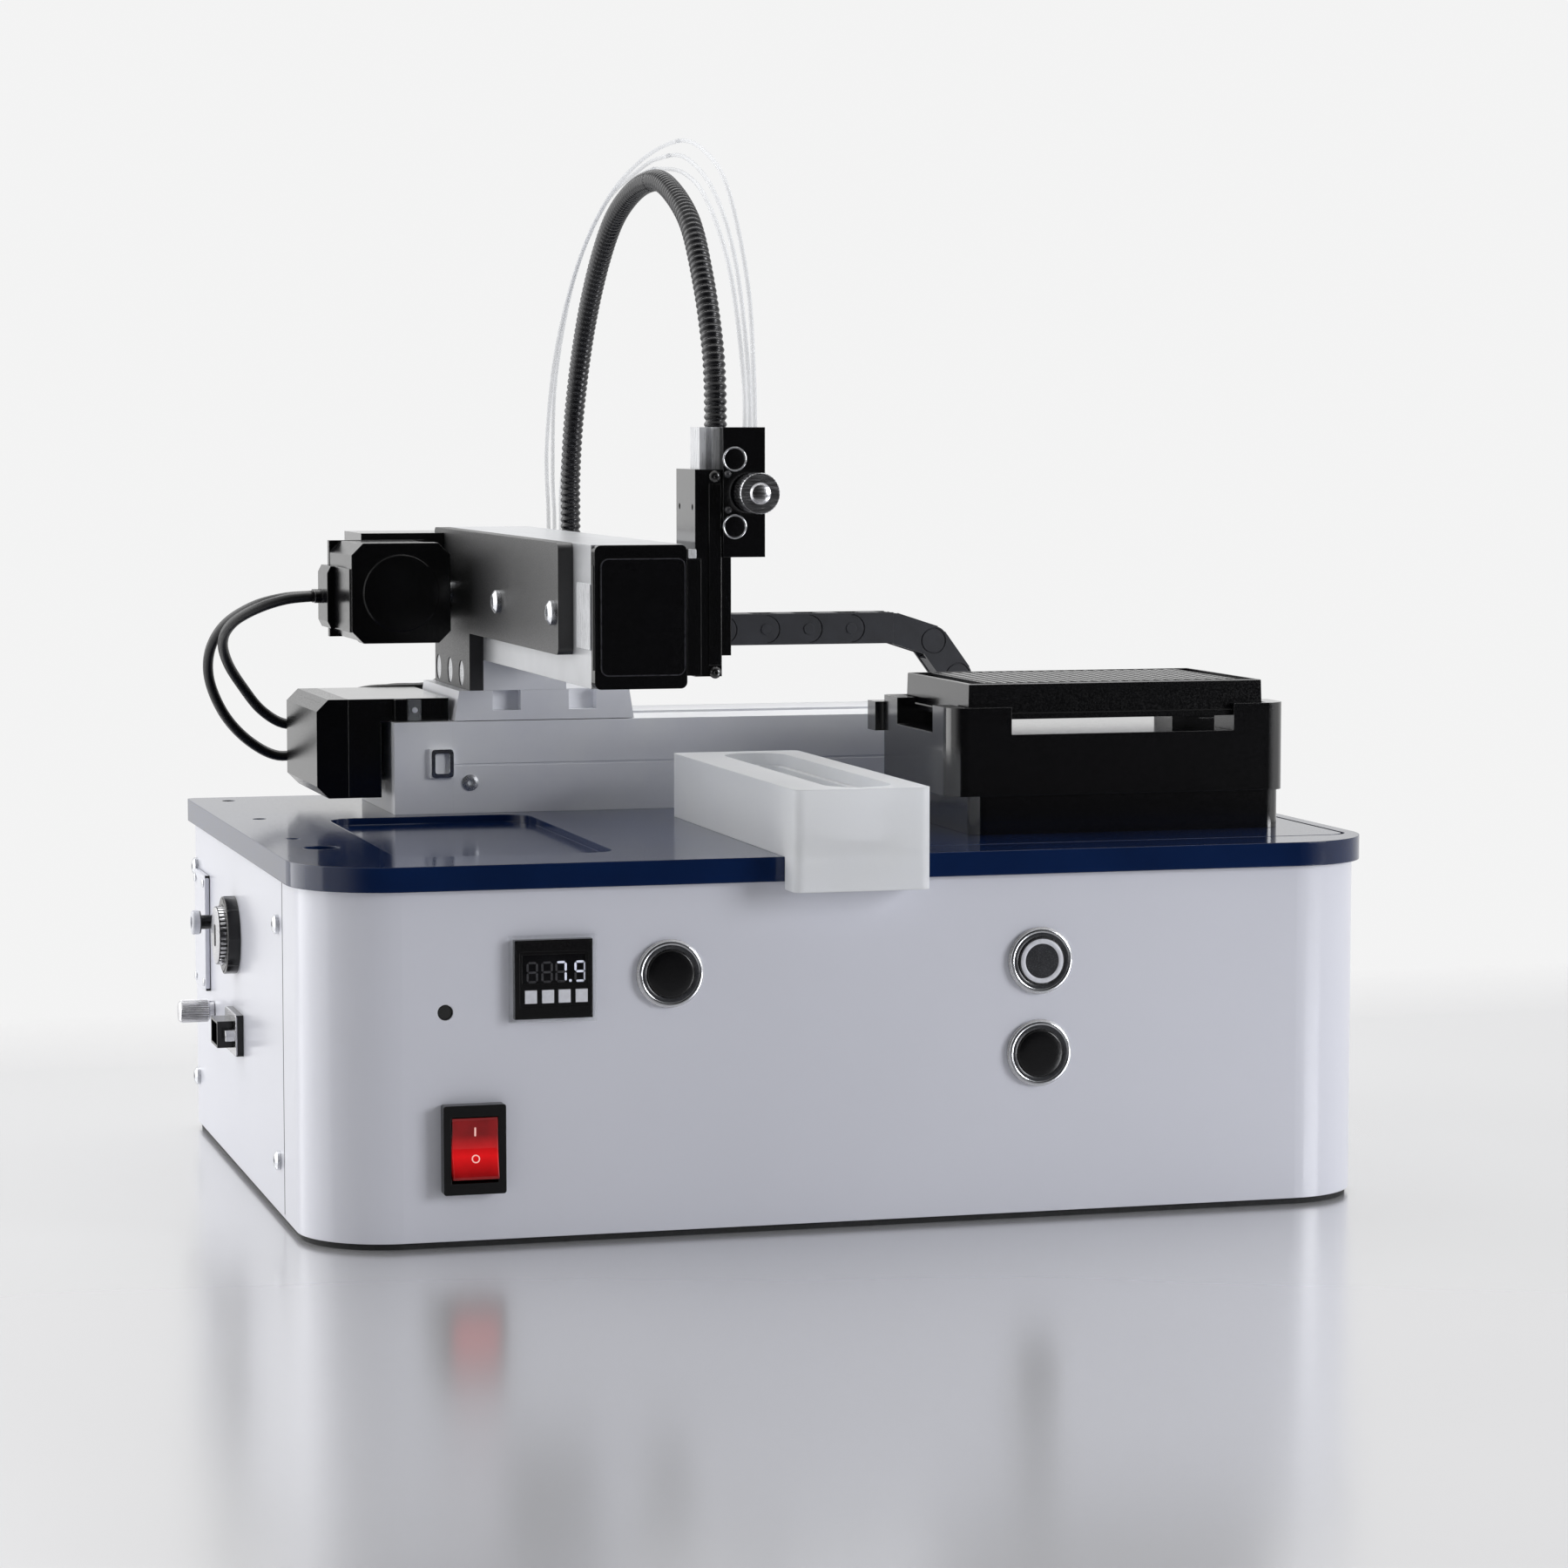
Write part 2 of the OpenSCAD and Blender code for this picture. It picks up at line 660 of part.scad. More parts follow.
module y_end_cap() {
    color("#0c0c0e") difference() {
        union() {
            translate([0, y_front, 0]) rotate([90, 0, 0]) linear_extrude(cap_t)
                polygon(rounded(y_left, arm_z, y_right, arm_top, 2.5, 2.5));
            translate([0, y_front - cap_t + eps, 0]) rotate([90, 0, 0]) linear_extrude(0.6)
                polygon(rounded(y_left + 2.2, arm_z + 5, y_right - 0.8, arm_top - 5, 3, 3));
        }
        rod_y(y_front - 3.5, y_front + 1, y_mid_x, y_mid_z, journal_r + fit_gap);
    }
}

drive_left = motor_x - 6;
drive_low = arm_z + 15.5;

module y_drive_block() {
    color("#1a1a1d") difference() {
        union() {
            block([drive_left, y_back, drive_low], [y_right, y_back + y_block_l, arm_top - 2]);
            block([drive_left, motor_y1, drive_low], [y_left - plate_t - 0.3, y_back + 1, arm_top - 2]);
            // Ledge on the right side with the hose's gland and the tube fittings
            block([y_right - eps, y_back + 1, ledge_top - 6], [hose_end_x + 8, y_back + y_block_l, ledge_top]);
            rod_z(ledge_top - eps, ledge_top + 6, hose_end_x, hose_end_y, 6.3);
            for (at = tube_end) rod_z(ledge_top - eps, ledge_top + 4.5, at[0], at[1], 1);
        }
        rod_z(ledge_top + 1, ledge_top + 7, hose_end_x, hose_end_y, hose_d / 2 + slide_gap);
        rod_y(y_back - 1, y_back + 12, y_mid_x, y_mid_z, journal_r + fit_gap);
        rod_y(motor_y1 - 1, motor_y1 + 14, motor_x, motor_z, 4.2);
    }
}

bell_l = 12;
connector_x = 3.9;
connector_h = 26.5;

// Motor's black end bell with its cover strip on the left side
module y_motor() {
    half = motor_w / 2;
    x0 = motor_x - half;
    cz = motor_z - 3;
    color("#101012") {
        chamfered_y([x0, motor_y0, motor_z - half], [motor_x + half, motor_y0 + bell_l, motor_z + half],
            motor_chamfer);
        rod_y(motor_y0 - 0.8, motor_y0 + eps, motor_x, motor_z, 16);
        block([x0 - 0.8, motor_y0 + 1, cz - connector_h / 2], [x0 + 0.5, motor_y0 + 38, cz + connector_h / 2]);
    }
}

// Motor's bright stator, flange and connector, with two cable glands and the shaft
module y_motor_core() {
    half = motor_w / 2;
    x0 = motor_x - half;
    cz = motor_z - 3;
    color("silver") {
        chamfered_y([x0 + 0.5, motor_y0 + bell_l, motor_z - half + 0.5],
            [motor_x + half - 0.5, motor_y1 - 4 + eps, motor_z + half - 0.5], motor_chamfer);
        block([x0 + 0.3, motor_y1 - 4, motor_z - half + 0.3], [motor_x + half, motor_y1, motor_z + half - 0.3]);
        translate([0, motor_y1, 0]) rotate([90, 0, 0]) linear_extrude(motor_y1 - motor_y0 - 38.2)
            polygon([[x0 - connector_x, cz - connector_h / 2 + 3], [x0 - connector_x + 1.5, cz - connector_h / 2],
                [x0 + 1, cz - connector_h / 2], [x0 + 1, cz + connector_h / 2],
                [x0 - connector_x + 1.5, cz + connector_h / 2], [x0 - connector_x, cz + connector_h / 2 - 3]]);
        rod_y(motor_y1 - eps, motor_y1 + 12, motor_x, motor_z, 4);
        for (y = [motor_y1 - 12, motor_y1 - 6]) rod_x(x0 - connector_x - 3.6, x0 - connector_x + 1, y, cz, 2.9);
    }
}

module y_screw() {
    color("silver") union() {
        rod_y(y_front - 3, y_front + 1, y_mid_x, y_mid_z, journal_r);
        rod_y(y_front + slide_gap, y_back - slide_gap, y_mid_x, y_mid_z, screw_r);
        rod_y(y_back - 1, y_back + 11, y_mid_x, y_mid_z, journal_r);
    }
}

// Two motor cables: out of the gland, down behind the X drive, up to the chain's moving end
cable_d = 4.5;
cable_a = [[-170.8, 102, 236.5], [-183, 105, 235.5], [-195, 113, 231.5], [-205, 124.5, 223.5],
    [-210, 135.5, 212], [-209, 145, 198], [-201.5, 150, 182], [-190, 152, 170], [-177, 152.5, 163.8],
    [-164, 152.5, 167.5], [-152, 152.5, 180], [-141, 152.5, 189.5], [-128, 152.5, 192.7], [-114, 152.3, 193],
    [-107.3, 152, 194.5], [-102, 151.8, 198.9], [-99, 151.5, 205.2], [-96, 151.2, 211.6], [-90.7, 151, 215.9],
    [-84.3, 151, 217.5]];
cable_b = [[-170.8, 96, 236.5], [-183, 98, 235.2], [-195, 104, 230.8], [-203.5, 113, 224.5], [-206, 124, 216.5],
    [-202.5, 135, 206.5], [-195, 143.5, 195.5], [-186, 146.5, 184.5], [-175, 147, 178.3], [-162, 146.7, 181],
    [-151, 146.5, 188.5], [-140, 146.5, 192.3], [-126, 146.5, 193], [-114, 146.3, 193.2], [-107.3, 146, 194.7],
    [-102, 145.8, 199.1], [-99, 145.6, 205.4], [-96, 145.5, 211.8], [-90.7, 145.5, 215.9], [-84.3, 145.5, 217.5]];

module y_motor_cables() {
    color("#0a0a0b") {
        cord(smooth_path(cable_a, 2), cable_d / 2);
        cord(smooth_path(cable_b, 2), cable_d / 2);
    }
}

// ---- Energy chain ----

chain_plate_t = 2;
chain_bar_t = 2;
chain_turn = 36;                            // one link's turn in the bend
chain_mid_r = chain_r1 - chain_t / 2;
chain_link_l = 2 * chain_mid_r * sin(chain_turn / 2);
chain_groove = 0.5;

// One link along X from pin to pin: two rounded side plates, two bars and the pins' bosses
module chain_link() {
    r = chain_t / 2;
    difference() {
        union() {
            for (y = [0, chain_w - chain_plate_t]) {
                block([0, y, -r], [chain_link_l, y + chain_plate_t, r]);
                rod_y(y, y + chain_plate_t, 0, 0, r);
            }
            for (z = [-r, r - chain_bar_t]) block([chain_link_l * 0.28, 0, z],
                [chain_link_l * 0.72, chain_w, z + chain_bar_t]);
        }
        for (y = [-eps, chain_w - chain_groove]) translate([0, y + chain_groove + eps, 0]) rotate([90, 0, 0])
            linear_extrude(chain_groove + eps) difference() {
                circle(r = r - 0.6);
                circle(r = r - 1.2);
            }
    }
    for (y = [-chain_groove, chain_w - eps]) rod_y(y, y + chain_groove + eps, 0, 0, 2.4);
}

// Straight run of whole links from x0, centre height z, after an end bracket
module chain_run(x0, links, z) {
    translate([x0, chain_y0, z]) for (i = [0:links - 1]) translate([i * chain_link_l, 0, 0]) chain_link();
}

upper_links = floor((chain_bend_x - chain_moving_x) / chain_link_l);
lower_links = floor((chain_bend_x - chain_fixed_x) / chain_link_l);
chain_upper_z = chain_high + chain_t / 2;
chain_lower_z = chain_low + chain_t / 2;

module chain_upper() {
    x0 = chain_bend_x - upper_links * chain_link_l;
    color("#17181c") difference() {
        union() {
            chain_run(x0, upper_links, chain_upper_z);
            block([chain_moving_x, chain_y0, chain_high], [x0 + 2, chain_y1, chain_high + chain_t]);
        }
        block([chain_moving_x + 2, chain_y0 + chain_plate_t, chain_high + chain_bar_t],
            [x0 + 3, chain_y1 - chain_plate_t, chain_high + chain_t - chain_bar_t]);
        block([chain_moving_x - 1, chain_y0 + 4, chain_high + 4],
            [chain_moving_x + 3, chain_y1 - chain_plate_t, chain_high + 10]);
        block([chain_bend_x, chain_y0 - 1, chain_high - 1], [chain_bend_x + chain_t, chain_y1 + 1,
            chain_high + chain_t + 1]);
    }
}

// Side view of the bend's links, right of the runs' ends; ringed shows each link's round end
module bend_outline(ringed) {
    r = chain_t / 2;
    pins = [for (i = [0:180 / chain_turn]) chain_mid_r * [sin(i * chain_turn), cos(i * chain_turn)]];
    difference() {
        intersection() {
            union() {
                for (i = [0:len(pins) - 1]) translate(pins[i]) circle(r = r - 0.3, $fn = 40);
                for (i = [0:len(pins) - 2]) translate(pins[i]) rotate(-(i + 0.5) * chain_turn)
                    translate([0, -r]) square([chain_link_l, chain_t]);
            }
            translate([0, -chain_r1 - 2]) square([chain_r1 + chain_t, 2 * chain_r1 + 4]);
        }
        if (ringed) for (i = [1:len(pins) - 2]) translate(pins[i]) difference() {
            circle(r = r - 1, $fn = 40);
            circle(r = r - 1.7, $fn = 40);
        }
    }
}

module chain_bend() {
    r = chain_t / 2;
    color("#17181c") translate([chain_bend_x, chain_y1, chain_mid_z]) rotate([90, 0, 0]) {
        linear_extrude(chain_groove) bend_outline(true);
        translate([0, 0, chain_groove]) linear_extrude(chain_plate_t - chain_groove) bend_outline(false);
        translate([0, 0, chain_w - chain_plate_t]) linear_extrude(chain_plate_t - chain_groove) bend_outline(false);
        translate([0, 0, chain_w - chain_groove]) linear_extrude(chain_groove) bend_outline(true);
        for (i = [0:180 / chain_turn - 1]) rotate(-i * chain_turn) translate([0, chain_mid_r]) rotate(-chain_turn / 2)
            for (z = [0.4 - r, r - chain_bar_t - 0.4]) translate([chain_link_l * 0.28, z, 1])
                cube([chain_link_l * 0.44, chain_bar_t, chain_w - 2]);
    }
}

module chain_lower() {
    x0 = chain_bend_x - lower_links * chain_link_l;
    color("#17181c") difference() {
        union() {
            chain_run(x0, lower_links, chain_lower_z);
            block([x0 - 9, chain_y0, deck_top], [x0 + 2, chain_y1, chain_low + chain_t]);
            block([x0 - 18, chain_y0 + 2, deck_top], [x0 - 8, chain_y1 - 2, deck_top + 3]);
        }
        block([x0 - 10, chain_y0 + chain_plate_t, chain_low + 3 + chain_bar_t],
            [x0 + 3, chain_y1 - chain_plate_t, chain_low + chain_t - chain_bar_t]);
        rod_z(deck_top - 1, deck_top + 4, x0 - 13.5, (chain_y0 + chain_y1) / 2, 1.7);
        block([chain_bend_x, chain_y0 - 1, chain_low - 1], [chain_bend_x + chain_t, chain_y1 + 1,
            chain_low + chain_t + 1]);
    }
}

// ---- Y slider and vertical slide ----

module y_slider() {
    nut_y0 = table_y0 + 20;
    nut_y1 = nut_y0 + 40;
    color("#1c1d21") difference() {
        union() {
            block([table_x0, table_y0, arm_z + 4.8], [table_x1, table_y0 + table_l, arm_top - 5.3]);
            block([y_mid_x + 6, nut_y0, y_mid_z - slot_w / 2 + 1], [table_x0 + 1, nut_y1, y_mid_z + slot_w / 2 - 1]);
            block([y_mid_x - 9, nut_y0, y_mid_z - 13], [y_mid_x + 10, nut_y1, y_mid_z + 13]);
            block([table_x0, table_y0 + 1, arm_top - 5.3 - eps], [table_x0 + 3.2, table_y0 + 7, arm_top - 1.6]);
        }
        rod_y(nut_y0 - 1, nut_y1 + 1, y_mid_x, y_mid_z, screw_r + fit_gap);
    }
}

module z_body() {
    color("#1c1d21") difference() {
        block([zb_x0, zb_y0, zb_z0], [zb_x1, zb_y1, zb_z1]);
        block([ram_x0 - slide_gap, ram_y0 - slide_gap, zb_z0 - 1], [zb_x1 + 1, ram_y1 + slide_gap, zb_z1 + 1]);
        for (y = [zb_y0 + 4, zb_y0 + 24]) rod_x(zb_x0 - 1, zb_x0 + 1.5, y, zb_z1 - 14.4, 1.2);
    }
}

module z_ram() {
    color("gainsboro") difference() {
        block([ram_x0, ram_y0, zb_z0 + 22], [ram_x1, ram_y1, head_top]);
        block([ram_x0 + 2.6, ram_y0 - 1, zb_z0 + 21], [ram_x0 + 5, ram_y0 + 2.5, head_top + 1]);
    }
}

module head_plate() {
    color("#0c0c0e") difference() {
        block([head_x0, head_y0, head_top - head_h], [head_x1, valve_y0, head_top]);
        rod_y(head_y0 - 1, head_y0 + 5, knob_x, knob_z, 2.1);
    }
}

disc_at = [[-48.9, 12.1], [-48.9, 37.8]];   // x, and depth below the head's top
pin_at = [[-51.6, 17.8], [-51.4, 31.4]];

module head_fittings() {
    color("gainsboro") {
        for (at = disc_at) translate([at[0], head_y0, head_top - at[1]]) rotate([90, 0, 0]) {
            difference() {
                cylinder(h = 1.2, d = 9.3);
                translate([0, 0, 0.6]) cylinder(h = 1, d = 7.9);
            }
        }
        for (at = pin_at) rod_y(head_y0 - 1, head_y0, at[0], head_top - at[1], 1.2);
        for (x = tube_x) rod_z(valve_z1, valve_z1 + 4, x, tube_y, 1);
        difference() {
            rod_z(valve_z1, valve_z1 + 6, hose_x, hose_y, 6);
            rod_z(valve_z1 + 1, valve_z1 + 7, hose_x, hose_y, hose_d / 2 + slide_gap);
        }
    }
}

tube_x = [-37, -39.1, -41.2];
tube_y = -134;
hose_x = -49.4;
hose_y = -121;
hose_end_x = -48;
hose_end_y = 140;
ledge_top = arm_z + 41.8;

module valve_block() {
    color("#2a2b30") block([head_x0, valve_y0, valve_z0], [head_x1 - 0.4, valve_y1, valve_z1]);
}

module nozzle_block() {
    color("#c9ccd2") union() {
        block([head_x0 + 0.4, -124, arm_z + 10.5], [-44, -109, valve_z0]);
        for (i = [0:nozzles - 1]) rod_z(arm_z + 3.8, arm_z + 11, nozzle_x, -121 + i * nozzle_pitch, 0.8);
    }
}

module clamp_knob() {
    color("silver") union() {
        rod_y(head_y0 - 13, head_y0 - 3, knob_x, knob_z, knob_r);
        rod_y(head_y0 - 14.4, head_y0 - 12.9, knob_x, knob_z, 3.6);
        rod_y(head_y0 - 3.1, head_y0 - slide_gap, knob_x, knob_z, 5);
        rod_y(head_y0 - 1, head_y0 + 4.5, knob_x, knob_z, 2);
    }
}

// Corrugated hose: up from the head, over, and down into the drive block's side
hose_route = [[hose_x, hose_y, valve_z1 + 1.3], [hose_x, hose_y, 313], [-49.3, -119.8, 327], [-49.1, -114.5, 343],
    [-48.9, -100, 367], [-48.6, -77, 390.6], [-48.4, -38, 406.5], [-48.3, -6, 409], [-48.1, 29, 404.2],
    [-48, 60, 393.5], [-48, 89, 373], [-48, 113, 347], [-48, 131, 316], [-48, 139, 290], [-48, 140, 272],
    [hose_end_x, hose_end_y, ledge_top + 1.3]];

module hose() {
    color("#1c1d21") cord(smooth_path(hose_route, 2), hose_d / 2, 12);
}

tube_a = [[-37, -134, 304.6], [-37.4, -133.5, 328], [-38.3, -128, 364], [-40, -106, 400.5], [-41.2, -78, 416.5],
    [-43, -40, 424], [-46.5, 14, 418.5], [-51, 62, 402], [-54.5, 104, 372], [-55.5, 136, 329.5],
    [-54.5, 147, 290], [-53.6, 148.2, 270], [-53.6, 148.2, 257]];
tube_b = [[-39.1, -134, 304.6], [-39.4, -133, 330], [-40.6, -119, 372], [-42, -92, 400.5], [-43.5, -52, 416.5],
    [-45.5, -14, 418.3], [-47.8, 12, 414.5], [-51.5, 52, 404], [-55, 92, 379], [-58, 123, 342],
    [-58.8, 139.5, 301], [-56.8, 146.2, 272], [-56.6, 146.4, 257]];
tube_c = [[-41.2, -134, 304.6], [-41.3, -133, 328], [-42.2, -116, 369.5], [-43.3, -85, 398], [-43.6, -52, 410],
    [-44, -17, 414], [-45.2, 8, 414], [-47, 45, 407], [-48, 84, 385.5], [-48.2, 117, 354], [-49, 138, 317],
    [-50.5, 147.3, 283], [-50.6, 148.2, 268], [-50.6, 148.2, 257]];
tube_end = [[-53.6, 148.2], [-56.6, 146.4], [-50.6, 148.2]];

module fluid_tubes() {
    color([0.9, 0.92, 0.95, 0.6]) for (route = [tube_a, tube_b, tube_c])
        cord(smooth_path(route, 2), tube_d / 2, 8);
}

// ---- Front controls ----

module button_bezels() {
    color("silver") for (at = button_at) translate([at[0], front_y, at[1]]) rotate([90, 0, 0]) difference() {
        union() {
            cylinder(h = bezel_h - 0.9, d = bezel_d);
            translate([0, 0, bezel_h - 0.9 - eps]) cylinder(h = 0.9 + eps, d1 = bezel_d, d2 = bezel_d - 3);
            translate([0, 0, -18]) cylinder(h = 18 + eps, r = barrel_r);
        }
        translate([0, 0, button_floor]) cylinder(h = 4, d = disc_d + 0.4);
        translate([0, 0, button_floor - 7]) cylinder(h = 8, d = 6);
    }
}

module button_cap(i) {
    at = button_at[i];
    color("#101012") translate([at[0], front_y, at[1]]) rotate([90, 0, 0]) union() {
        disc_z = button_floor + button_travel + 0.1;
        translate([0, 0, disc_z]) cylinder(h = bezel_h + disc_proud - disc_z, d = disc_d);
        translate([0, 0, button_floor - 4]) cylinder(h = 4 + button_travel + 1, d = 5.6);
    }
}

module pressure_display() {
    half = display_side / 2;
    x = display_at[0];
    z = display_at[1];
    color("#111113") difference() {
        union() {
            block([x - half, front_y - display_h, z - half], [x + half, front_y, z + half]);
            block([x - 13, front_y - eps, z - 13], [x + 13, front_y + 24, z + 13]);
        }
        block([x - 12.2, front_y - display_h - 1, z - 1.4], [x + 12.2, front_y - display_h + 0.8, z + 9.4]);
        for (kx = key_x) block([x + kx - 0.2, front_y - display_h - 1, z - 9.2],
            [x + kx + key_w + 0.2, front_y - display_h + 1.6, z - 3.8]);
    }
}

module display_key(i) {
    x = display_at[0] + key_x[i];
    color("gainsboro") block([x, front_y - display_h - 0.5, display_at[1] - 9],
        [x + key_w, front_y - display_h + 1.6 - key_travel - 0.1, display_at[1] - 4]);
}

module display_bezel() {
    x = display_at[0];
    z = display_at[1];
    inner = display_side / 2 + 0.1;
    color([0.9, 0.92, 0.95, 0.5]) difference() {
        block([x - inner - 1.6, front_y - display_h + 0.5, z - inner - 1.4],
            [x + inner + 1.6, front_y, z + inner + 1.4]);
        block([x - inner, front_y - display_h, z - inner], [x + inner, front_y + 1, z + inner]);
    }
}

module rocker_bezel() {
    x0 = rocker_at[0] - rocker_bezel_w / 2;
    x1 = rocker_at[0] + rocker_bezel_w / 2;
    z0 = rocker_at[1] - rocker_bezel_hh / 2;
    z1 = rocker_at[1] + rocker_bezel_hh / 2;
    color("#141416") difference() {
        union() {
            rotate([90, 0, 0]) translate([0, 0, -front_y]) linear_extrude(rocker_proud)
                polygon(rounded(x0, z0, x1, z1, 1, 1));
            block([rocker_at[0] - 10, front_y - eps, rocker_at[1] - 14], [rocker_at[0] + 10, front_y + 22, rocker_at[1] + 14]);
        }
        block([rocker_at[0] - 9, front_y - rocker_proud - 1, rocker_at[1] - 12.6],
            [rocker_at[0] + 9, front_y + 6, rocker_at[1] + 12.6]);
        rod_x(rocker_at[0] - 11, rocker_at[0] + 11, pivot_y, rocker_at[1], pivot_r + fit_gap);
    }
}

module rocker() {
    color("red") translate([rocker_at[0], pivot_y, rocker_at[1]]) rotate([-rocker_tilt, 0, 0]) union() {
        translate([-8.7, 0, 0]) rotate([90, 0, 90]) linear_extrude(17.4)
            polygon([[-5.2, -11.6], [-5.6, -10.6], [-4.2, 0], [-5.6, 10.6], [-5.2, 11.6], [2, 11.6], [5.5, 5],
                [5.5, -5], [2, -11.6]]);
        rod_x(-10.5, 10.5, 0, 0, pivot_r);
    }
}

// ---- Left side ports ----

module side_ports() {
    py = round_port_at[0];
    pz = round_port_at[1];
    color("#141416") {
        // Round connector: flange, collar and threaded back
        difference() {
            union() {
                rod_x(-side_x - 5, -side_x, py, pz, 16);
                rod_x(-side_x - 8, -side_x - 5 + eps, py, pz, 12);
                rod_x(-side_x - eps, -side_x + 14, py, pz, 8.8);
            }
            block([-side_x - 9, py - 1.4, pz - 4], [-side_x - 3, py + 1.4, pz + 4]);
        }
        // Air coupling
        difference() {
            union() {
                rod_x(-side_x - 2, -side_x, air_port_at[0], air_port_at[1], 5.5);
                rod_x(-side_x - 12, -side_x - 2 + eps, air_port_at[0], air_port_at[1], 3);
                rod_x(-side_x - 12, -side_x - 9, air_port_at[0], air_port_at[1], 4.8);
                rod_x(-side_x - eps, -side_x + 12, air_port_at[0], air_port_at[1], 3);
            }
            rod_x(-side_x - 13, -side_x - 2, air_port_at[0], air_port_at[1], 2);
        }
        // Data connector: flange, shell and body behind the panel
        block([-side_x - 3, comm_at[0] - 15, comm_at[1] - 8.5], [-side_x, comm_at[0] + 15, comm_at[1] + 8.5]);
        difference() {
            block([-side_x - 10, comm_at[0] - 9, comm_at[1] - 5.5], [-side_x - 3 + eps, comm_at[0] + 9, comm_at[1] + 5.5]);
            block([-side_x - 11, comm_at[0] - 8, comm_at[1] - 4.5], [-side_x - 4, comm_at[0] + 8, comm_at[1] + 4.5]);
        }
        block([-side_x - eps, comm_at[0] - 8.8, comm_at[1] - 4.3], [-side_x + 10, comm_at[0] + 8.8, comm_at[1] + 4.3]);
    }
    // Raised cover plate at the rear
    color("white") block([-side_x - 2, 109, 66], [-side_x, 140, 116]);
}

module regulator_knob() {
    x0 = -side_x - 15.5;
    color("silver") union() {
        rod_x(x0, -side_x - slide_gap, knob_at[0], knob_at[1], 4.9);
        rod_x(-side_x - 1, -side_x + 8, knob_at[0], knob_at[1], 3);
    }
}

// ---- Rear and inside ----

module power_inlet() {
    color("#141416") difference() {
        union() {
            block([inlet_at[0] - 24, rear_y, inlet_at[1] - 12], [inlet_at[0] + 24, rear_y + 2.5, inlet_at[1] + 12]);
            block([inlet_at[0] - 13.8, rear_y - 26, inlet_at[1] - 9.8], [inlet_at[0] + 13.8, rear_y + eps, inlet_at[1] + 9.8]);
        }
        block([inlet_at[0] - 11, rear_y - 18, inlet_at[1] - 7], [inlet_at[0] + 11, rear_y + 3, inlet_at[1] + 7]);
        for (x = [-7, 0, 7]) rod_y(rear_y - 19, rear_y - 17, inlet_at[0] + x, inlet_at[1], 1.2);
    }
}

floor_z = base_gap + floor_t;

supply_l = 100;
supply_w = 100;
supply_h = 38;
supply_at = [side_x - 145, rear_y - 135];

// Power supply: box with two rows of vent slots and a terminal strip
module power_supply() {
    x0 = supply_at[0];
    y0 = supply_at[1];
    color("silver") difference() {
        union() {
            block([x0, y0, floor_z], [x0 + supply_l, y0 + supply_w, floor_z + supply_h]);
            block([x0 + 8, y0 - 9, floor_z], [x0 + supply_l - 8, y0 + eps, floor_z + 16]);
        }
        for (i = [0:7], x = [x0 + 10, x0 + 55]) block([x, y0 + 12 + i * 10, floor_z + supply_h - 2],
            [x + 35, y0 + 16 + i * 10, floor_z + supply_h + 1]);
        for (i = [0:6]) block([x0 + 11 + i * 11.5, y0 - 10, floor_z + 5],
            [x0 + 19 + i * 11.5, y0 - 3, floor_z + 17]);
    }
}

board_l = 160;
board_w = 120;
board_at = [95 - side_x, front_y + 95];
standoff_h = 8;
board_t = 1.6;

module control_board() {
    x0 = board_at[0];
    y0 = board_at[1];
    top = floor_z + standoff_h + board_t;
    color("darkgreen") {
        block([x0, y0, floor_z + standoff_h], [x0 + board_l, y0 + board_w, top]);
        for (x = [x0 + 6, x0 + board_l - 6], y = [y0 + 6, y0 + board_w - 6])
            rod_z(floor_z, floor_z + standoff_h, x, y, 3);
        block([x0 + 30, y0 + 30, top], [x0 + 80, y0 + 80, top + 3]);
        for (i = [0:4]) block([x0 + 100, y0 + 20 + i * 16, top], [x0 + 112, y0 + 30 + i * 16, top + 9]);
        for (i = [0:2]) rod_z(top, top + 16, x0 + 132, y0 + 30 + i * 22, 7);
    }
}

manifold_at = [25 - side_x, rear_y - 105];
manifold_l = 60;
manifold_w = 70;
manifold_h = 30;
valve_pitch = 18;

// Air manifold with three solenoid valves
module air_manifold() {
    x0 = manifold_at[0];
    y0 = manifold_at[1];
    top = floor_z + manifold_h;
    color("silver") difference() {
        union() {
            block([x0, y0, floor_z], [x0 + manifold_l, y0 + manifold_w, top]);
            for (i = [0:2]) {
                block([x0 + 6, y0 + 10 + i * valve_pitch, top - eps], [x0 + 40, y0 + 22 + i * valve_pitch, top + 26]);
                rod_z(top - eps, top + 8, x0 + 50, y0 + 16 + i * valve_pitch, 4);
            }
        }
        rod_x(x0 - 1, x0 + 30, y0 + 50, floor_z + 15, 3);
        for (i = [0:2]) rod_z(top - 10, top + 9, x0 + 50, y0 + 16 + i * valve_pitch, 2);
    }
}

base_pad();
base_plate();
front_wrap();
left_panel();
right_panel();
rear_panel();
base_screws();
deck_plate();
nest_riser();
nest_body();
x_profile();
x_end_blocks();
x_drive_body();
x_drive_cap();
x_motor();
pressure_display();
display_bezel();
button_bezels();
rocker_bezel();
side_ports();
power_inlet();
power_supply();
control_board();
air_manifold();
chain_lower();
rocker();
button_cap(0);  // button_cap_1
button_cap(1);  // button_cap_2
button_cap(2);  // button_cap_3
display_key(0);  // display_key_1
display_key(1);  // display_key_2
display_key(2);  // display_key_3
display_key(3);  // display_key_4
regulator_knob();
x_screw();
chain_bend();
carriage();
carriage_bracket();
arm_plate();
arm_screws();
y_profile();
y_end_cap();
y_drive_block();
y_motor();
y_motor_core();
y_motor_cables();
chain_upper();
y_screw();
y_slider();
z_body();
z_ram();
head_plate();
head_fittings();
valve_block();
nozzle_block();
clamp_knob();
hose();
fluid_tubes();
microplate();
reservoir();
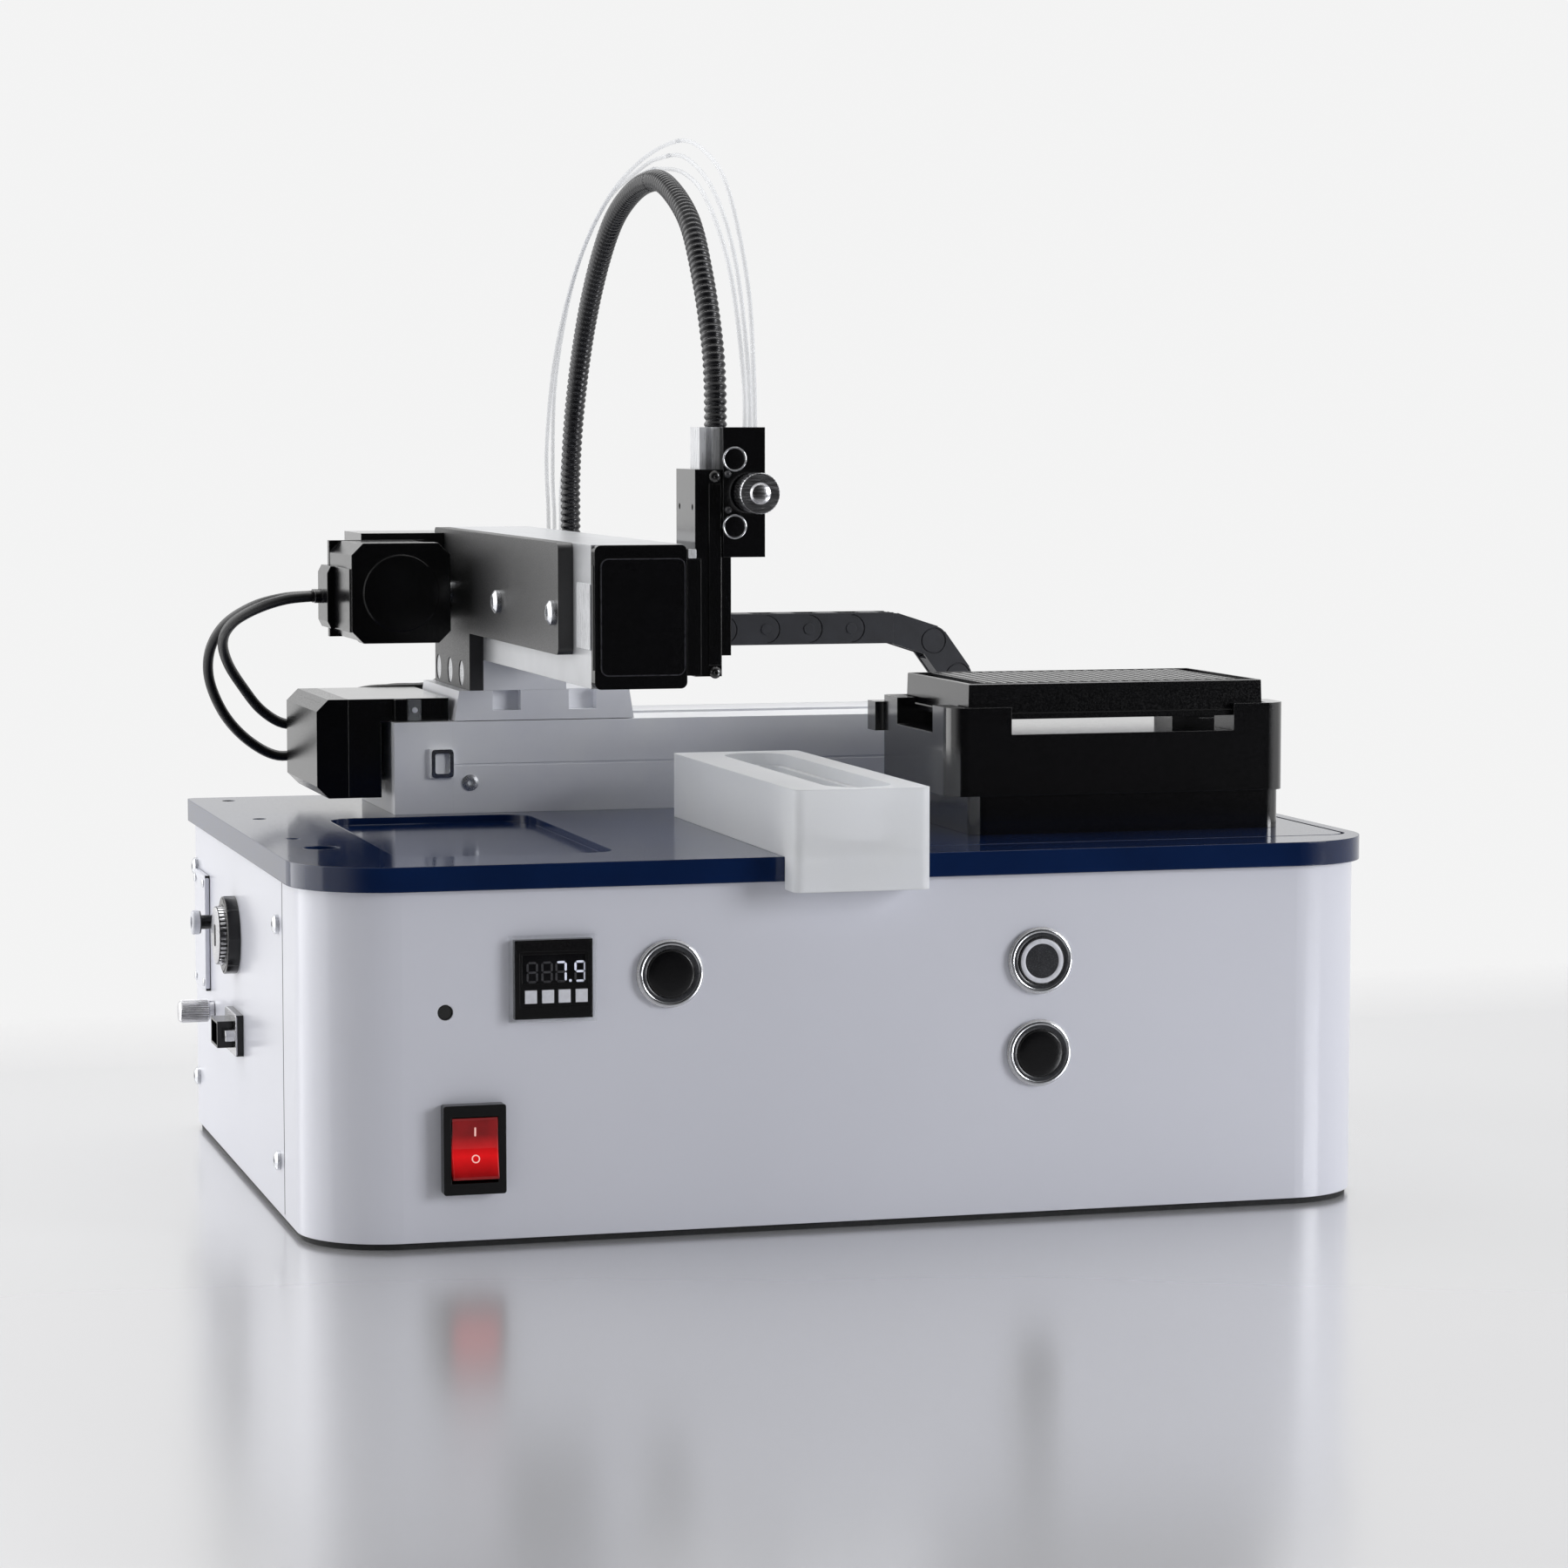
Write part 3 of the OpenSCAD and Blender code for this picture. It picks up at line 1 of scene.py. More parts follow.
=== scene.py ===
"""Looks of the benchtop liquid handling robot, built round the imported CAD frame.

All lengths here are typed in millimetres and turned to metres by MM. X runs right, Y to the back, Z up."""
import json
import math

import bmesh
import bpy
from mathutils import Matrix, Vector


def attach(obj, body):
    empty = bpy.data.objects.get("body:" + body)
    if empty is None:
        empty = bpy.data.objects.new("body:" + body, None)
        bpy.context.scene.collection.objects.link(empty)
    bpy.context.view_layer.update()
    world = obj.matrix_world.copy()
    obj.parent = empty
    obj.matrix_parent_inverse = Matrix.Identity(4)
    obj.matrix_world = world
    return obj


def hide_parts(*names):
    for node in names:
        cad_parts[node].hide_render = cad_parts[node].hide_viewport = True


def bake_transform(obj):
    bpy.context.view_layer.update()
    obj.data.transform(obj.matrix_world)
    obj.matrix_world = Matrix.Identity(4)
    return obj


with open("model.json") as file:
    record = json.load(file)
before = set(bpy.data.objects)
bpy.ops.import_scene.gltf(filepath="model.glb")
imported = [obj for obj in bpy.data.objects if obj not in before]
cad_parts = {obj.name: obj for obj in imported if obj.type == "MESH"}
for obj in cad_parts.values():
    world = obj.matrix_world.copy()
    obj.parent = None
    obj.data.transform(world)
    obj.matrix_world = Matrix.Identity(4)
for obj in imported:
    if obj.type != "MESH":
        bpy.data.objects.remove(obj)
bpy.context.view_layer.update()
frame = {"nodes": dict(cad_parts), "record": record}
MM = 0.001

# ---- Camera ----

CAMERA_AT = (-473.5, -1746.2, 313.6)
CAMERA_PITCH = 85.14
CAMERA_YAW = -15.53
CAMERA_LENS = 99.4


def make_camera():
    data = bpy.data.cameras.new("camera")
    data.lens = CAMERA_LENS
    data.sensor_width = 36
    data.clip_start = 0.05
    camera = bpy.data.objects.new("camera", data)
    camera.location = Vector(CAMERA_AT) * MM
    camera.rotation_euler = (math.radians(CAMERA_PITCH), 0, math.radians(CAMERA_YAW))
    bpy.context.scene.collection.objects.link(camera)
    bpy.context.scene.camera = camera


make_camera()

# ---- Materials ----


class Finish:
    """A node material: a surface colour that varies, edges in another colour for wear and a painted highlight, grain in
    roughness and bump, rounded edges.
    """

    def __init__(self, name, base, rough, metal=0.0):
        self.mat = bpy.data.materials.new(name)
        self.mat.use_nodes = True
        self.tree = self.mat.node_tree
        self.shader = self.tree.nodes["Principled BSDF"]
        self.base = base
        self.rough = rough
        self.shader.inputs["Base Color"].default_value = (*base, 1)
        self.shader.inputs["Roughness"].default_value = rough
        self.shader.inputs["Metallic"].default_value = metal
        self.coords = self.add("ShaderNodeTexCoord").outputs["Object"]
        self.normal = None
        self.color = None

    def add(self, kind, **values):
        node = self.tree.nodes.new(kind)
        for key, value in values.items():
            setattr(node, key, value)
        return node

    def link(self, source, target):
        self.tree.links.new(source, target)

    def stretched(self, stretch):
        mapping = self.add("ShaderNodeMapping")
        mapping.inputs["Scale"].default_value = stretch
        self.link(self.coords, mapping.inputs["Vector"])
        return mapping.outputs["Vector"]

    def noise(self, size_mm, detail=3.0, stretch=(1, 1, 1)):
        node = self.add("ShaderNodeTexNoise")
        node.inputs["Scale"].default_value = 1 / (size_mm * MM)
        node.inputs["Detail"].default_value = detail
        self.link(self.stretched(stretch), node.inputs["Vector"])
        return node.outputs["Fac"]

    def ramp(self, source, low, high, lo=0.35, hi=0.65):
        node = self.add("ShaderNodeMapRange")
        node.inputs["From Min"].default_value = lo
        node.inputs["From Max"].default_value = hi
        node.inputs["To Min"].default_value = low
        node.inputs["To Max"].default_value = high
        self.link(source, node.inputs["Value"])
        return node.outputs["Result"]

    def mix(self, factor, first, second):
        node = self.add("ShaderNodeMix", data_type="RGBA")
        self.link(factor, node.inputs[0])
        for socket, value in ((node.inputs[6], first), (node.inputs[7], second)):
            if isinstance(value, tuple):
                socket.default_value = (*value, 1)
            else:
                self.link(value, socket)
        return node.outputs[2]

    def rounded(self, radius_mm):
        """Shades sharp CAD edges as if they were rounded."""
        node = self.add("ShaderNodeBevel")
        node.samples = 4
        node.inputs["Radius"].default_value = radius_mm * MM
        self.normal = node.outputs["Normal"]
        return self

    def mottled(self, size_mm, amount, stretch=(1, 1, 1)):
        """Slow variation of the colour."""
        dark = tuple(c * (1 - amount) for c in self.base)
        light = tuple(min(1, c * (1 + amount)) for c in self.base)
        self.color = self.mix(self.ramp(self.noise(size_mm, 4, stretch), 0, 1), dark, light)
        return self

    def grained(self, size_mm, depth_mm, spread=0.08, stretch=(1, 1, 1)):
        """Fine grain: bump and a spread of roughness."""
        fac = self.noise(size_mm, 2, stretch)
        bump = self.add("ShaderNodeBump")
        bump.inputs["Distance"].default_value = depth_mm * MM
        bump.inputs["Strength"].default_value = 1.0
        self.link(fac, bump.inputs["Height"])
        if self.normal:
            self.link(self.normal, bump.inputs["Normal"])
        self.normal = bump.outputs["Normal"]
        self.link(self.ramp(fac, max(0.02, self.rough - spread), min(1, self.rough + spread)),
                  self.shader.inputs["Roughness"])
        return self

    def satin(self, size_mm, spread, stretch=(1, 1, 1)):
        """Spread of roughness alone."""
        self.link(self.ramp(self.noise(size_mm, 2, stretch), max(0.02, self.rough - spread),
                            min(1, self.rough + spread)), self.shader.inputs["Roughness"])
        return self

    def edge_wear_and_highlight(self, color, radius_mm=0.7, amount=0.6):
        """Another colour in patches where the surface turns sharply: lighter on the dark finishes, as wear and a
        painted highlight along the edges; a little darker on the silver finish.
        """
        bevel = self.add("ShaderNodeBevel")
        bevel.samples = 4
        bevel.inputs["Radius"].default_value = radius_mm * MM
        geometry = self.add("ShaderNodeNewGeometry")
        dot = self.add("ShaderNodeVectorMath", operation="DOT_PRODUCT")
        self.link(bevel.outputs["Normal"], dot.inputs[0])
        self.link(geometry.outputs["True Normal"], dot.inputs[1])
        edge = self.ramp(dot.outputs["Value"], amount, 0, 0.75, 0.97)
        patchy = self.add("ShaderNodeMath", operation="MULTIPLY")
        self.link(edge, patchy.inputs[0])
        self.link(self.ramp(self.noise(3, 4), 0.3, 1), patchy.inputs[1])
        self.color = self.mix(patchy.outputs[0], self.color if self.color else self.base, color)
        return self

    def glowing(self, color, centre, spread, strength):
        """Light from within, strongest at one share of the height."""
        parts = self.add("ShaderNodeSeparateXYZ")
        self.link(self.add("ShaderNodeTexCoord").outputs["Generated"], parts.inputs[0])
        least = self.add("ShaderNodeMath", operation="MINIMUM")
        self.link(self.ramp(parts.outputs["Z"], 0, strength, centre - spread, centre), least.inputs[0])
        self.link(self.ramp(parts.outputs["Z"], strength, 0, centre, centre + spread), least.inputs[1])
        self.shader.inputs["Emission Color"].default_value = (*color, 1)
        self.link(least.outputs[0], self.shader.inputs["Emission Strength"])
        return self

    def set(self, **values):
        for key, value in values.items():
            self.shader.inputs[key.replace("_", " ")].default_value = value
        return self

    def done(self):
        if self.normal:
            self.link(self.normal, self.shader.inputs["Normal"])
        if self.color:
            self.link(self.color, self.shader.inputs["Base Color"])
        return self.mat


def mix_in(finish, other):
    """Mixes another shader into a finished material, and returns the socket that says how much."""
    mixed = finish.add("ShaderNodeMixShader")
    finish.link(finish.shader.outputs[0], mixed.inputs[1])
    finish.link(other.outputs[0], mixed.inputs[2])
    finish.link(mixed.outputs[0], finish.tree.nodes["Material Output"].inputs["Surface"])
    return mixed.inputs[0]


def see_through(finish, share):
    """Lets a share of the light straight through a finished material."""
    mat = finish.done()
    mix_in(finish, finish.add("ShaderNodeBsdfTransparent")).default_value = share
    return mat


def milky(finish, share, color):
    """Lets light glow through a frosted material."""
    mat = finish.done()
    glow = finish.add("ShaderNodeBsdfTranslucent")
    glow.inputs["Color"].default_value = (*color, 1)
    mix_in(finish, glow).default_value = share
    return mat


def lit(name, color, strength):
    """A surface that also gives off light of its own."""
    finish = Finish(name, color, 0.3).mottled(2, 0.1)
    finish.shader.inputs["Emission Color"].default_value = (*color, 1)
    finish.shader.inputs["Emission Strength"].default_value = strength
    return finish.done()


# The lighter edge colours of the dark finishes below are wear and a painted highlight along the edges.
MATERIALS = {
    "pad": Finish("pad", (0.012, 0.012, 0.013), 0.75).mottled(5, 0.25).grained(0.8, 0.05).done(),
    "sheet_steel": Finish("sheet_steel", (0.55, 0.56, 0.58), 0.38, 1).mottled(25, 0.12).grained(0.6, 0.004).done(),
    "housing": Finish("housing", (0.72, 0.73, 0.8), 0.3).rounded(0.5).mottled(150, 0.015)
    .satin(180, 0.015).set(Coat_Weight=0.35, Coat_Roughness=0.14).done(),
    "screws": Finish("screws", (0.6, 0.61, 0.63), 0.26, 0.8).rounded(0.2).mottled(2, 0.08)
    .grained(0.3, 0.001, 0.06).done(),
    "deck": Finish("deck", (0.003, 0.014, 0.062), 0.12).rounded(0.7).mottled(40, 0.12)
    .edge_wear_and_highlight((0.01, 0.035, 0.13), 0.8, 0.5).grained(0.6, 0.0012, 0.03).done(),
    "dark_anodised": Finish("dark_anodised", (0.0014, 0.0014, 0.002), 0.15).rounded(0.35).mottled(18, 0.2)
    .edge_wear_and_highlight((0.05, 0.05, 0.055), 0.45, 0.5).grained(0.35, 0.0006, 0.04)
    .set(IOR=1.75, Coat_Weight=0.3, Coat_Roughness=0.1).done(),
    "silver_anodised": Finish("silver_anodised", (0.93, 0.94, 0.99), 0.34, 0.1).rounded(0.3).mottled(30, 0.04)
    .edge_wear_and_highlight((0.8, 0.81, 0.84), 0.5, 0.4).grained(0.5, 0.0015, 0.06, (0.04, 1, 1)).done(),
    "black_plastic": Finish("black_plastic", (0.002, 0.002, 0.0026), 0.2).rounded(0.3).mottled(9, 0.2)
    .grained(0.5, 0.003, 0.06).done(),
    "motor_case": Finish("motor_case", (0.002, 0.002, 0.0026), 0.18).rounded(0.7).mottled(12, 0.2)
    .edge_wear_and_highlight((0.03, 0.03, 0.035), 0.6, 0.4).grained(1.6, 0.0002, 0.02).done(),
    "clear_plastic": see_through(Finish("clear_plastic", (0.8, 0.83, 0.86), 0.08).mottled(6, 0.05)
                                 .grained(1.5, 0.003, 0.03), 0.86),
    "steel": Finish("steel", (0.62, 0.62, 0.64), 0.22, 1).rounded(0.2).mottled(6, 0.08)
    .grained(0.4, 0.003, 0.06, (0.05, 1, 1)).done(),
    "power_case": Finish("power_case", (0.5, 0.51, 0.52), 0.45, 1).mottled(15, 0.15).grained(0.7, 0.006).done(),
    "board": Finish("board", (0.01, 0.09, 0.03), 0.35).mottled(4, 0.3).grained(1.0, 0.01).done(),
    "valve_metal": Finish("valve_metal", (0.5, 0.51, 0.53), 0.35, 1).mottled(10, 0.1).grained(0.5, 0.005).done(),
    "chain_plastic": Finish("chain_plastic", (0.014, 0.015, 0.02), 0.5).rounded(0.3).mottled(10, 0.2)
    .edge_wear_and_highlight((0.05, 0.05, 0.06), 0.5, 0.4).grained(0.6, 0.006).done(),
    "rocker_red": Finish("rocker_red", (0.3, 0.004, 0.006), 0.16).rounded(0.5).mottled(6, 0.15)
    .grained(1.2, 0.004, 0.04).glowing((0.9, 0.012, 0.014), 0.4, 0.34, 0.55).set(Coat_Weight=0.5).done(),
    "key_plastic": Finish("key_plastic", (0.7, 0.71, 0.76), 0.36).rounded(0.25).mottled(2, 0.06)
    .grained(0.3, 0.004).done(),
    "cable_rubber": Finish("cable_rubber", (0.008, 0.008, 0.009), 0.36).mottled(8, 0.2).grained(0.6, 0.003).done(),
    "hose_plastic": Finish("hose_plastic", (0.008, 0.008, 0.01), 0.26).mottled(9, 0.2).grained(0.6, 0.002).done(),
    "tube_plastic": see_through(Finish("tube_plastic", (0.82, 0.84, 0.88), 0.12).mottled(12, 0.05)
                                .grained(1.5, 0.002, 0.03), 0.68),
    "plate_plastic": Finish("plate_plastic", (0.002, 0.002, 0.0026), 0.16).mottled(9, 0.2)
    .grained(0.6, 0.001, 0.05).set(IOR=1.8).done(),
    "frosted_plastic": milky(Finish("frosted_plastic", (0.98, 0.985, 1.0), 0.4).rounded(0.8).mottled(25, 0.015)
                             .grained(0.7, 0.003, 0.06).set(Transmission_Weight=0.15, IOR=1.4), 0.3,
                             (0.93, 0.95, 0.98)),
}

# Its lighter edge colour is wear and a painted highlight along the edges.
BLASTED = Finish("blasted_aluminium", (0.009, 0.009, 0.01), 0.44, 0.1).rounded(0.4).mottled(14, 0.12) \
    .edge_wear_and_highlight((0.14, 0.14, 0.15), 0.4, 0.5).grained(0.45, 0.012, 0.1).set(IOR=1.8).done()
EXTRUDED = Finish("extruded_aluminium", (0.62, 0.63, 0.65), 0.3, 0.5).rounded(0.25).mottled(22, 0.04) \
    .satin(4, 0.015, (1, 0.03, 1)).done()
POLISHED = Finish("polished_ring", (0.72, 0.73, 0.76), 0.16, 1).rounded(0.2).mottled(3, 0.06) \
    .grained(0.4, 0.002, 0.05).done()
DARK_RING = Finish("dark_ring", (0.035, 0.036, 0.04), 0.24).mottled(3, 0.15).grained(0.4, 0.003).done()
# Thin grey line that paints the highlight along the edge of the end cap's raised panel.
PANEL_EDGE_HIGHLIGHT = Finish("painted_panel_edge_highlight", (0.03, 0.03, 0.036), 0.3).mottled(4, 0.12).satin(2, 0.05).done()
WINDOW = Finish("window", (0.006, 0.006, 0.007), 0.06).mottled(5, 0.2).grained(2, 0.001, 0.02).done()
UNLIT = Finish("unlit_segments", (0.05, 0.05, 0.055), 0.3).mottled(2, 0.2).grained(0.4, 0.002).done()
DIGITS = lit("lit_segments", (0.72, 0.75, 0.88), 0.3)
MARKS = lit("rocker_marks", (1.0, 0.55, 0.5), 0.35)
SATIN_RAIL = Finish("satin_rail", (0.74, 0.75, 0.77), 0.3, 0.25).rounded(0.2).mottled(8, 0.05) \
    .grained(0.4, 0.001, 0.05, (1, 1, 0.05)).done()
RUBBER = Finish("gasket", (0.006, 0.006, 0.006), 0.6).mottled(3, 0.3).grained(0.5, 0.01).done()


def dress_nodes():
    """The finish of each node's slot, with a few nodes finished otherwise than their slot, after the photograph."""
    slots = {part["node"]: part["material_slot"] for part in frame["record"]["subparts"]}
    special = {"arm_plate": BLASTED, "y_profile": EXTRUDED, "z_ram": SATIN_RAIL,
               "nozzle_block": MATERIALS["dark_anodised"], "head_fittings": MATERIALS["dark_anodised"],
               "y_motor_core": MATERIALS["motor_case"]}
    for name, obj in frame["nodes"].items():
        for material_slot in obj.material_slots:
            material_slot.material = special.get(name, MATERIALS[slots[name]])


dress_nodes()

# ---- Mesh helpers ----


def place(name, mesh, material, body, smooth=False):
    """A new piece, riding on a body if one is named."""
    if smooth:
        for face in mesh.polygons:
            face.use_smooth = True
    obj = bpy.data.objects.new(name, mesh)
    bpy.context.scene.collection.objects.link(obj)
    mesh.materials.append(material)
    if body:
        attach(obj, body)
    return obj


def mesh_of(name, verts, faces):
    """A mesh from points in millimetres, its faces turned outwards."""
    mesh = bpy.data.meshes.new(name)
    mesh.from_pydata([Vector(v) * MM for v in verts], [], faces)
    work = bmesh.new()
    work.from_mesh(mesh)
    bmesh.ops.recalc_face_normals(work, faces=work.faces)
    work.to_mesh(mesh)
    work.free()
    return mesh


def soften(obj, width_mm, segments=2):
    """Rounds the piece's sharp edges."""
    modifier = obj.modifiers.new("soften", "BEVEL")
    modifier.width = width_mm * MM
    modifier.segments = segments
    modifier.limit_method = "ANGLE"
    modifier.angle_limit = math.radians(35)
    return obj


def axes(direction):
    """A direction as a unit vector, and two more across it."""
    along = Vector(direction).normalized()
    side = along.orthogonal().normalized()
    return along, side, along.cross(side)


def lathe(name, profile, origin, direction, material, body, sides=64, knurl=None):
    """Turned piece: profile is a list of (distance along the axis, radius). knurl = (count, depth, from, to)."""
    along, side, other = axes(direction)
    verts, faces = [], []
    for step, (height, radius) in enumerate(profile):
        for k in range(sides):
            angle = 2 * math.pi * k / sides
            r = radius
            if knurl and knurl[2] <= step <= knurl[3]:
                r -= knurl[1] * (0.5 + 0.5 * math.cos(knurl[0] * angle))
            verts.append(Vector(origin) + along * height + side * (r * math.cos(angle)) + other * (r * math.sin(angle)))
    for i in range(len(profile) - 1):
        for k in range(sides):
            n = (k + 1) % sides
            faces.append((i * sides + k, i * sides + n, (i + 1) * sides + n, (i + 1) * sides + k))
    faces.append(tuple(range(sides)))
    faces.append(tuple(range((len(profile) - 1) * sides, len(profile) * sides)))
    mesh = mesh_of(name, verts, faces)
    obj = place(name, mesh, material, body)
    for face in mesh.polygons:
        face.use_smooth = len(face.vertices) == 4
    mesh.set_sharp_from_angle(angle=math.radians(32))
    return obj


def annulus(name, inner, outer, thickness, origin, direction, material, body, sides=64):
    """Flat ring with softened rims, its back at the origin."""
    along, side, other = axes(direction)
    rim = min(0.25, thickness * 0.4)
    section = [(inner, 0), (inner, thickness - rim), (inner + rim, thickness), (outer - rim, thickness),
               (outer, thickness - rim), (outer, 0)]
    verts, faces = [], []
    for k in range(sides):
        angle = 2 * math.pi * k / sides
        for radius, height in section:
            verts.append(Vector(origin) + along * height + side * (radius * math.cos(angle))
                         + other * (radius * math.sin(angle)))
    count = len(section)
    for k in range(sides):
        n = (k + 1) % sides
        for j in range(count):
            m = (j + 1) % count
            faces.append((k * count + j, n * count + j, n * count + m, k * count + m))
    return place(name, mesh_of(name, verts, faces), material, body, True)


def slab(name, outline, to_space, depth, material, body, soft=0.0):
    """Extruded outline: to_space(u, v, w) puts a point of the outline at height w."""
    count = len(outline)
    verts = [to_space(u, v, 0) for u, v in outline] + [to_space(u, v, depth) for u, v in outline]
    faces = [tuple(range(count)), tuple(range(count, 2 * count))]
    faces += [(i, (i + 1) % count, count + (i + 1) % count, count + i) for i in range(count)]
    obj = place(name, mesh_of(name, verts, faces), material, body)
    return soften(obj, soft) if soft else obj


def framing(name, outer, inner, to_space, depth, material, body):
    """Raised band between two outlines of as many points."""
    verts, faces = [], []
    for level, outline in ((0, outer), (depth, outer), (depth, inner), (0, inner)):
        verts += [to_space(u, v, level) for u, v in outline]
    n = len(outer)
    for a in range(3):
        faces += [(a * n + i, a * n + (i + 1) % n, (a + 1) * n + (i + 1) % n, (a + 1) * n + i) for i in range(n)]
    return place(name, mesh_of(name, verts, faces), material, body)


def ball(name, radius, at, material, body, steps=10):
    """Small ball, turned about the Y axis; its poles are left a hair wide."""
    turns = [math.pi * i / steps for i in range(steps + 1)]
    profile = [(-radius * math.cos(turn), max(0.02, radius * math.sin(turn))) for turn in turns]
    return lathe(name, profile, at, (0, -1, 0), material, body, 24)


def rounded_rect(x0, y0, x1, y1, r, steps=5):
    """Outline of a rectangle with rounded corners."""
    points = []
    for cx, cy, start in ((x0 + r, y0 + r, 180), (x1 - r, y0 + r, 270), (x1 - r, y1 - r, 0), (x0 + r, y1 - r, 90)):
        for i in range(steps + 1):
            angle = math.radians(start + 90 * i / steps)
            points.append((cx + r * math.cos(angle), cy + r * math.sin(angle)))
    return points


def on_front(y):
    """Outline in x and z, growing towards the front."""
    return lambda u, v, w: (u, y - w, v)


def on_left(x):
    """Outline in y and z, growing to the left."""
    return lambda u, v, w: (x - w, u, v)


# ---- Cords ----

HOSE_ROUTE = [(-49.4, -121, 301.6), (-49.4, -121, 313), (-49.3, -119.8, 327), (-49.1, -114.5, 343),
              (-48.9, -100, 367), (-48.6, -77, 390.6), (-48.4, -38, 406.5), (-48.3, -6, 409), (-48.1, 29, 404.2),
              (-48, 60, 393.5), (-48, 89, 373), (-48, 113, 347), (-48, 131, 316), (-48, 139, 290), (-48, 140, 272),
              (-48, 140, 253.6)]
TUBE_A = [(-37, -134, 304.6), (-37.4, -133.5, 328), (-38.3, -128, 364), (-40, -106, 400.5), (-41.2, -78, 416.5),
          (-43, -40, 424), (-46.5, 14, 418.5), (-51, 62, 402), (-54.5, 104, 372), (-55.5, 136, 329.5),
          (-54.5, 147, 290), (-53.6, 148.2, 270), (-53.6, 148.2, 257)]
TUBE_B = [(-39.1, -134, 304.6), (-39.4, -133, 330), (-40.6, -119, 372), (-42, -92, 400.5), (-43.5, -52, 416.5),
          (-45.5, -14, 418.3), (-47.8, 12, 414.5), (-51.5, 52, 404), (-55, 92, 379), (-58, 123, 342),
          (-58.8, 139.5, 301), (-56.8, 146.2, 272), (-56.6, 146.4, 257)]
TUBE_C = [(-41.2, -134, 304.6), (-41.3, -133, 328), (-42.2, -116, 369.5), (-43.3, -85, 398), (-43.6, -52, 410),
          (-44, -17, 414), (-45.2, 8, 414), (-47, 45, 407), (-48, 84, 385.5), (-48.2, 117, 354), (-49, 138, 317),
          (-50.5, 147.3, 283), (-50.6, 148.2, 268), (-50.6, 148.2, 257)]
CABLE_A = [(-170.8, 102, 236.5), (-183, 105, 235.5), (-195, 113, 231.5), (-205, 124.5, 223.5),
           (-210, 135.5, 212), (-209, 145, 198), (-201.5, 150, 182), (-190, 152, 170), (-177, 152.5, 163.8),
           (-164, 152.5, 167.5), (-152, 152.5, 180), (-141, 152.5, 189.5), (-128, 152.5, 192.7),
           (-114, 152.3, 193), (-107.3, 152, 194.5), (-102, 151.8, 198.9), (-99, 151.5, 205.2),
           (-96, 151.2, 211.6), (-90.7, 151, 215.9), (-84.3, 151, 217.5)]
CABLE_B = [(-170.8, 96, 236.5), (-183, 98, 235.2), (-195, 104, 230.8), (-203.5, 113, 224.5), (-206, 124, 216.5),
           (-202.5, 135, 206.5), (-195, 143.5, 195.5), (-186, 146.5, 184.5), (-175, 147, 178.3),
           (-162, 146.7, 181), (-151, 146.5, 188.5), (-140, 146.5, 192.3), (-126, 146.5, 193),
           (-114, 146.3, 193.2), (-107.3, 146, 194.7), (-102, 145.8, 199.1), (-99, 145.6, 205.4),
           (-96, 145.5, 211.8), (-90.7, 145.5, 215.9), (-84.3, 145.5, 217.5)]
HOSE_D = 9.0
TUBE_D = 1.8
CABLE_D = 4.5
CORRUGATION = 2.9
GROOVE = 0.85
SPAN_STEPS = 12


def smooth_path(points, per_span=SPAN_STEPS):
    """A smooth line through all the points."""
    points = [Vector(p) for p in points]
    out = []
    for i in range(len(points) - 1):
        a, b, c, d = points[max(i - 1, 0)], points[i], points[i + 1], points[min(i + 2, len(points) - 1)]
        for k in range(per_span):
            t = k / per_span
            out.append(0.5 * (2 * b + (c - a) * t + (2 * a - 5 * b + 4 * c - d) * t * t
                              + (3 * b - a - 3 * c + d) * t * t * t))
    return out + [points[-1]]


def path_length(points):
    return sum((b - a).length for a, b in zip(points, points[1:]))


def even_path(points, step):
    """The same path with points a step apart."""
    total = path_length(points)
    count = max(2, round(total / step))
    out, travelled, i = [], 0.0, 0
    for k in range(count + 1):
        target = total * k / count
        while i < len(points) - 2 and travelled + (points[i + 1] - points[i]).length < target:
            travelled += (points[i + 1] - points[i]).length
            i += 1
        span = (points[i + 1] - points[i]).length
        out.append(points[i].lerp(points[i + 1], (target - travelled) / span))
    return out


def tube(name, path, radius_at, sides, material):
    """Tube along a path, with its radius a function of the distance along it."""
    verts, faces = [], []
    side = Vector((0.9, 0.3, 0.2))
    travelled = 0.0
    for i, point in enumerate(path):
        tangent = (path[min(i + 1, len(path) - 1)] - path[max(i - 1, 0)]).normalized()
        side = (side - side.dot(tangent) * tangent).normalized()
        other = tangent.cross(side)
        if i:
            travelled += (point - path[i - 1]).length
        radius = radius_at(travelled)
        for k in range(sides):
            angle = 2 * math.pi * k / sides
            verts.append(point + side * (radius * math.cos(angle)) + other * (radius * math.sin(angle)))
    for i in range(len(path) - 1):
        for k in range(sides):
            n = (k + 1) % sides
            faces.append((i * sides + k, i * sides + n, (i + 1) * sides + n, (i + 1) * sides + k))
    faces.append(tuple(range(sides)))
    faces.append(tuple(range((len(path) - 1) * sides, len(path) * sides)))
    return place(name, mesh_of(name, verts, faces), material, None, True)


def declare(path):
    """Every cord here goes back into the object at its far end. This works out the cord's length and points in metres
    and keeps neither.
    """
    path_length(path) * MM
    [tuple(p * MM) for p in path]


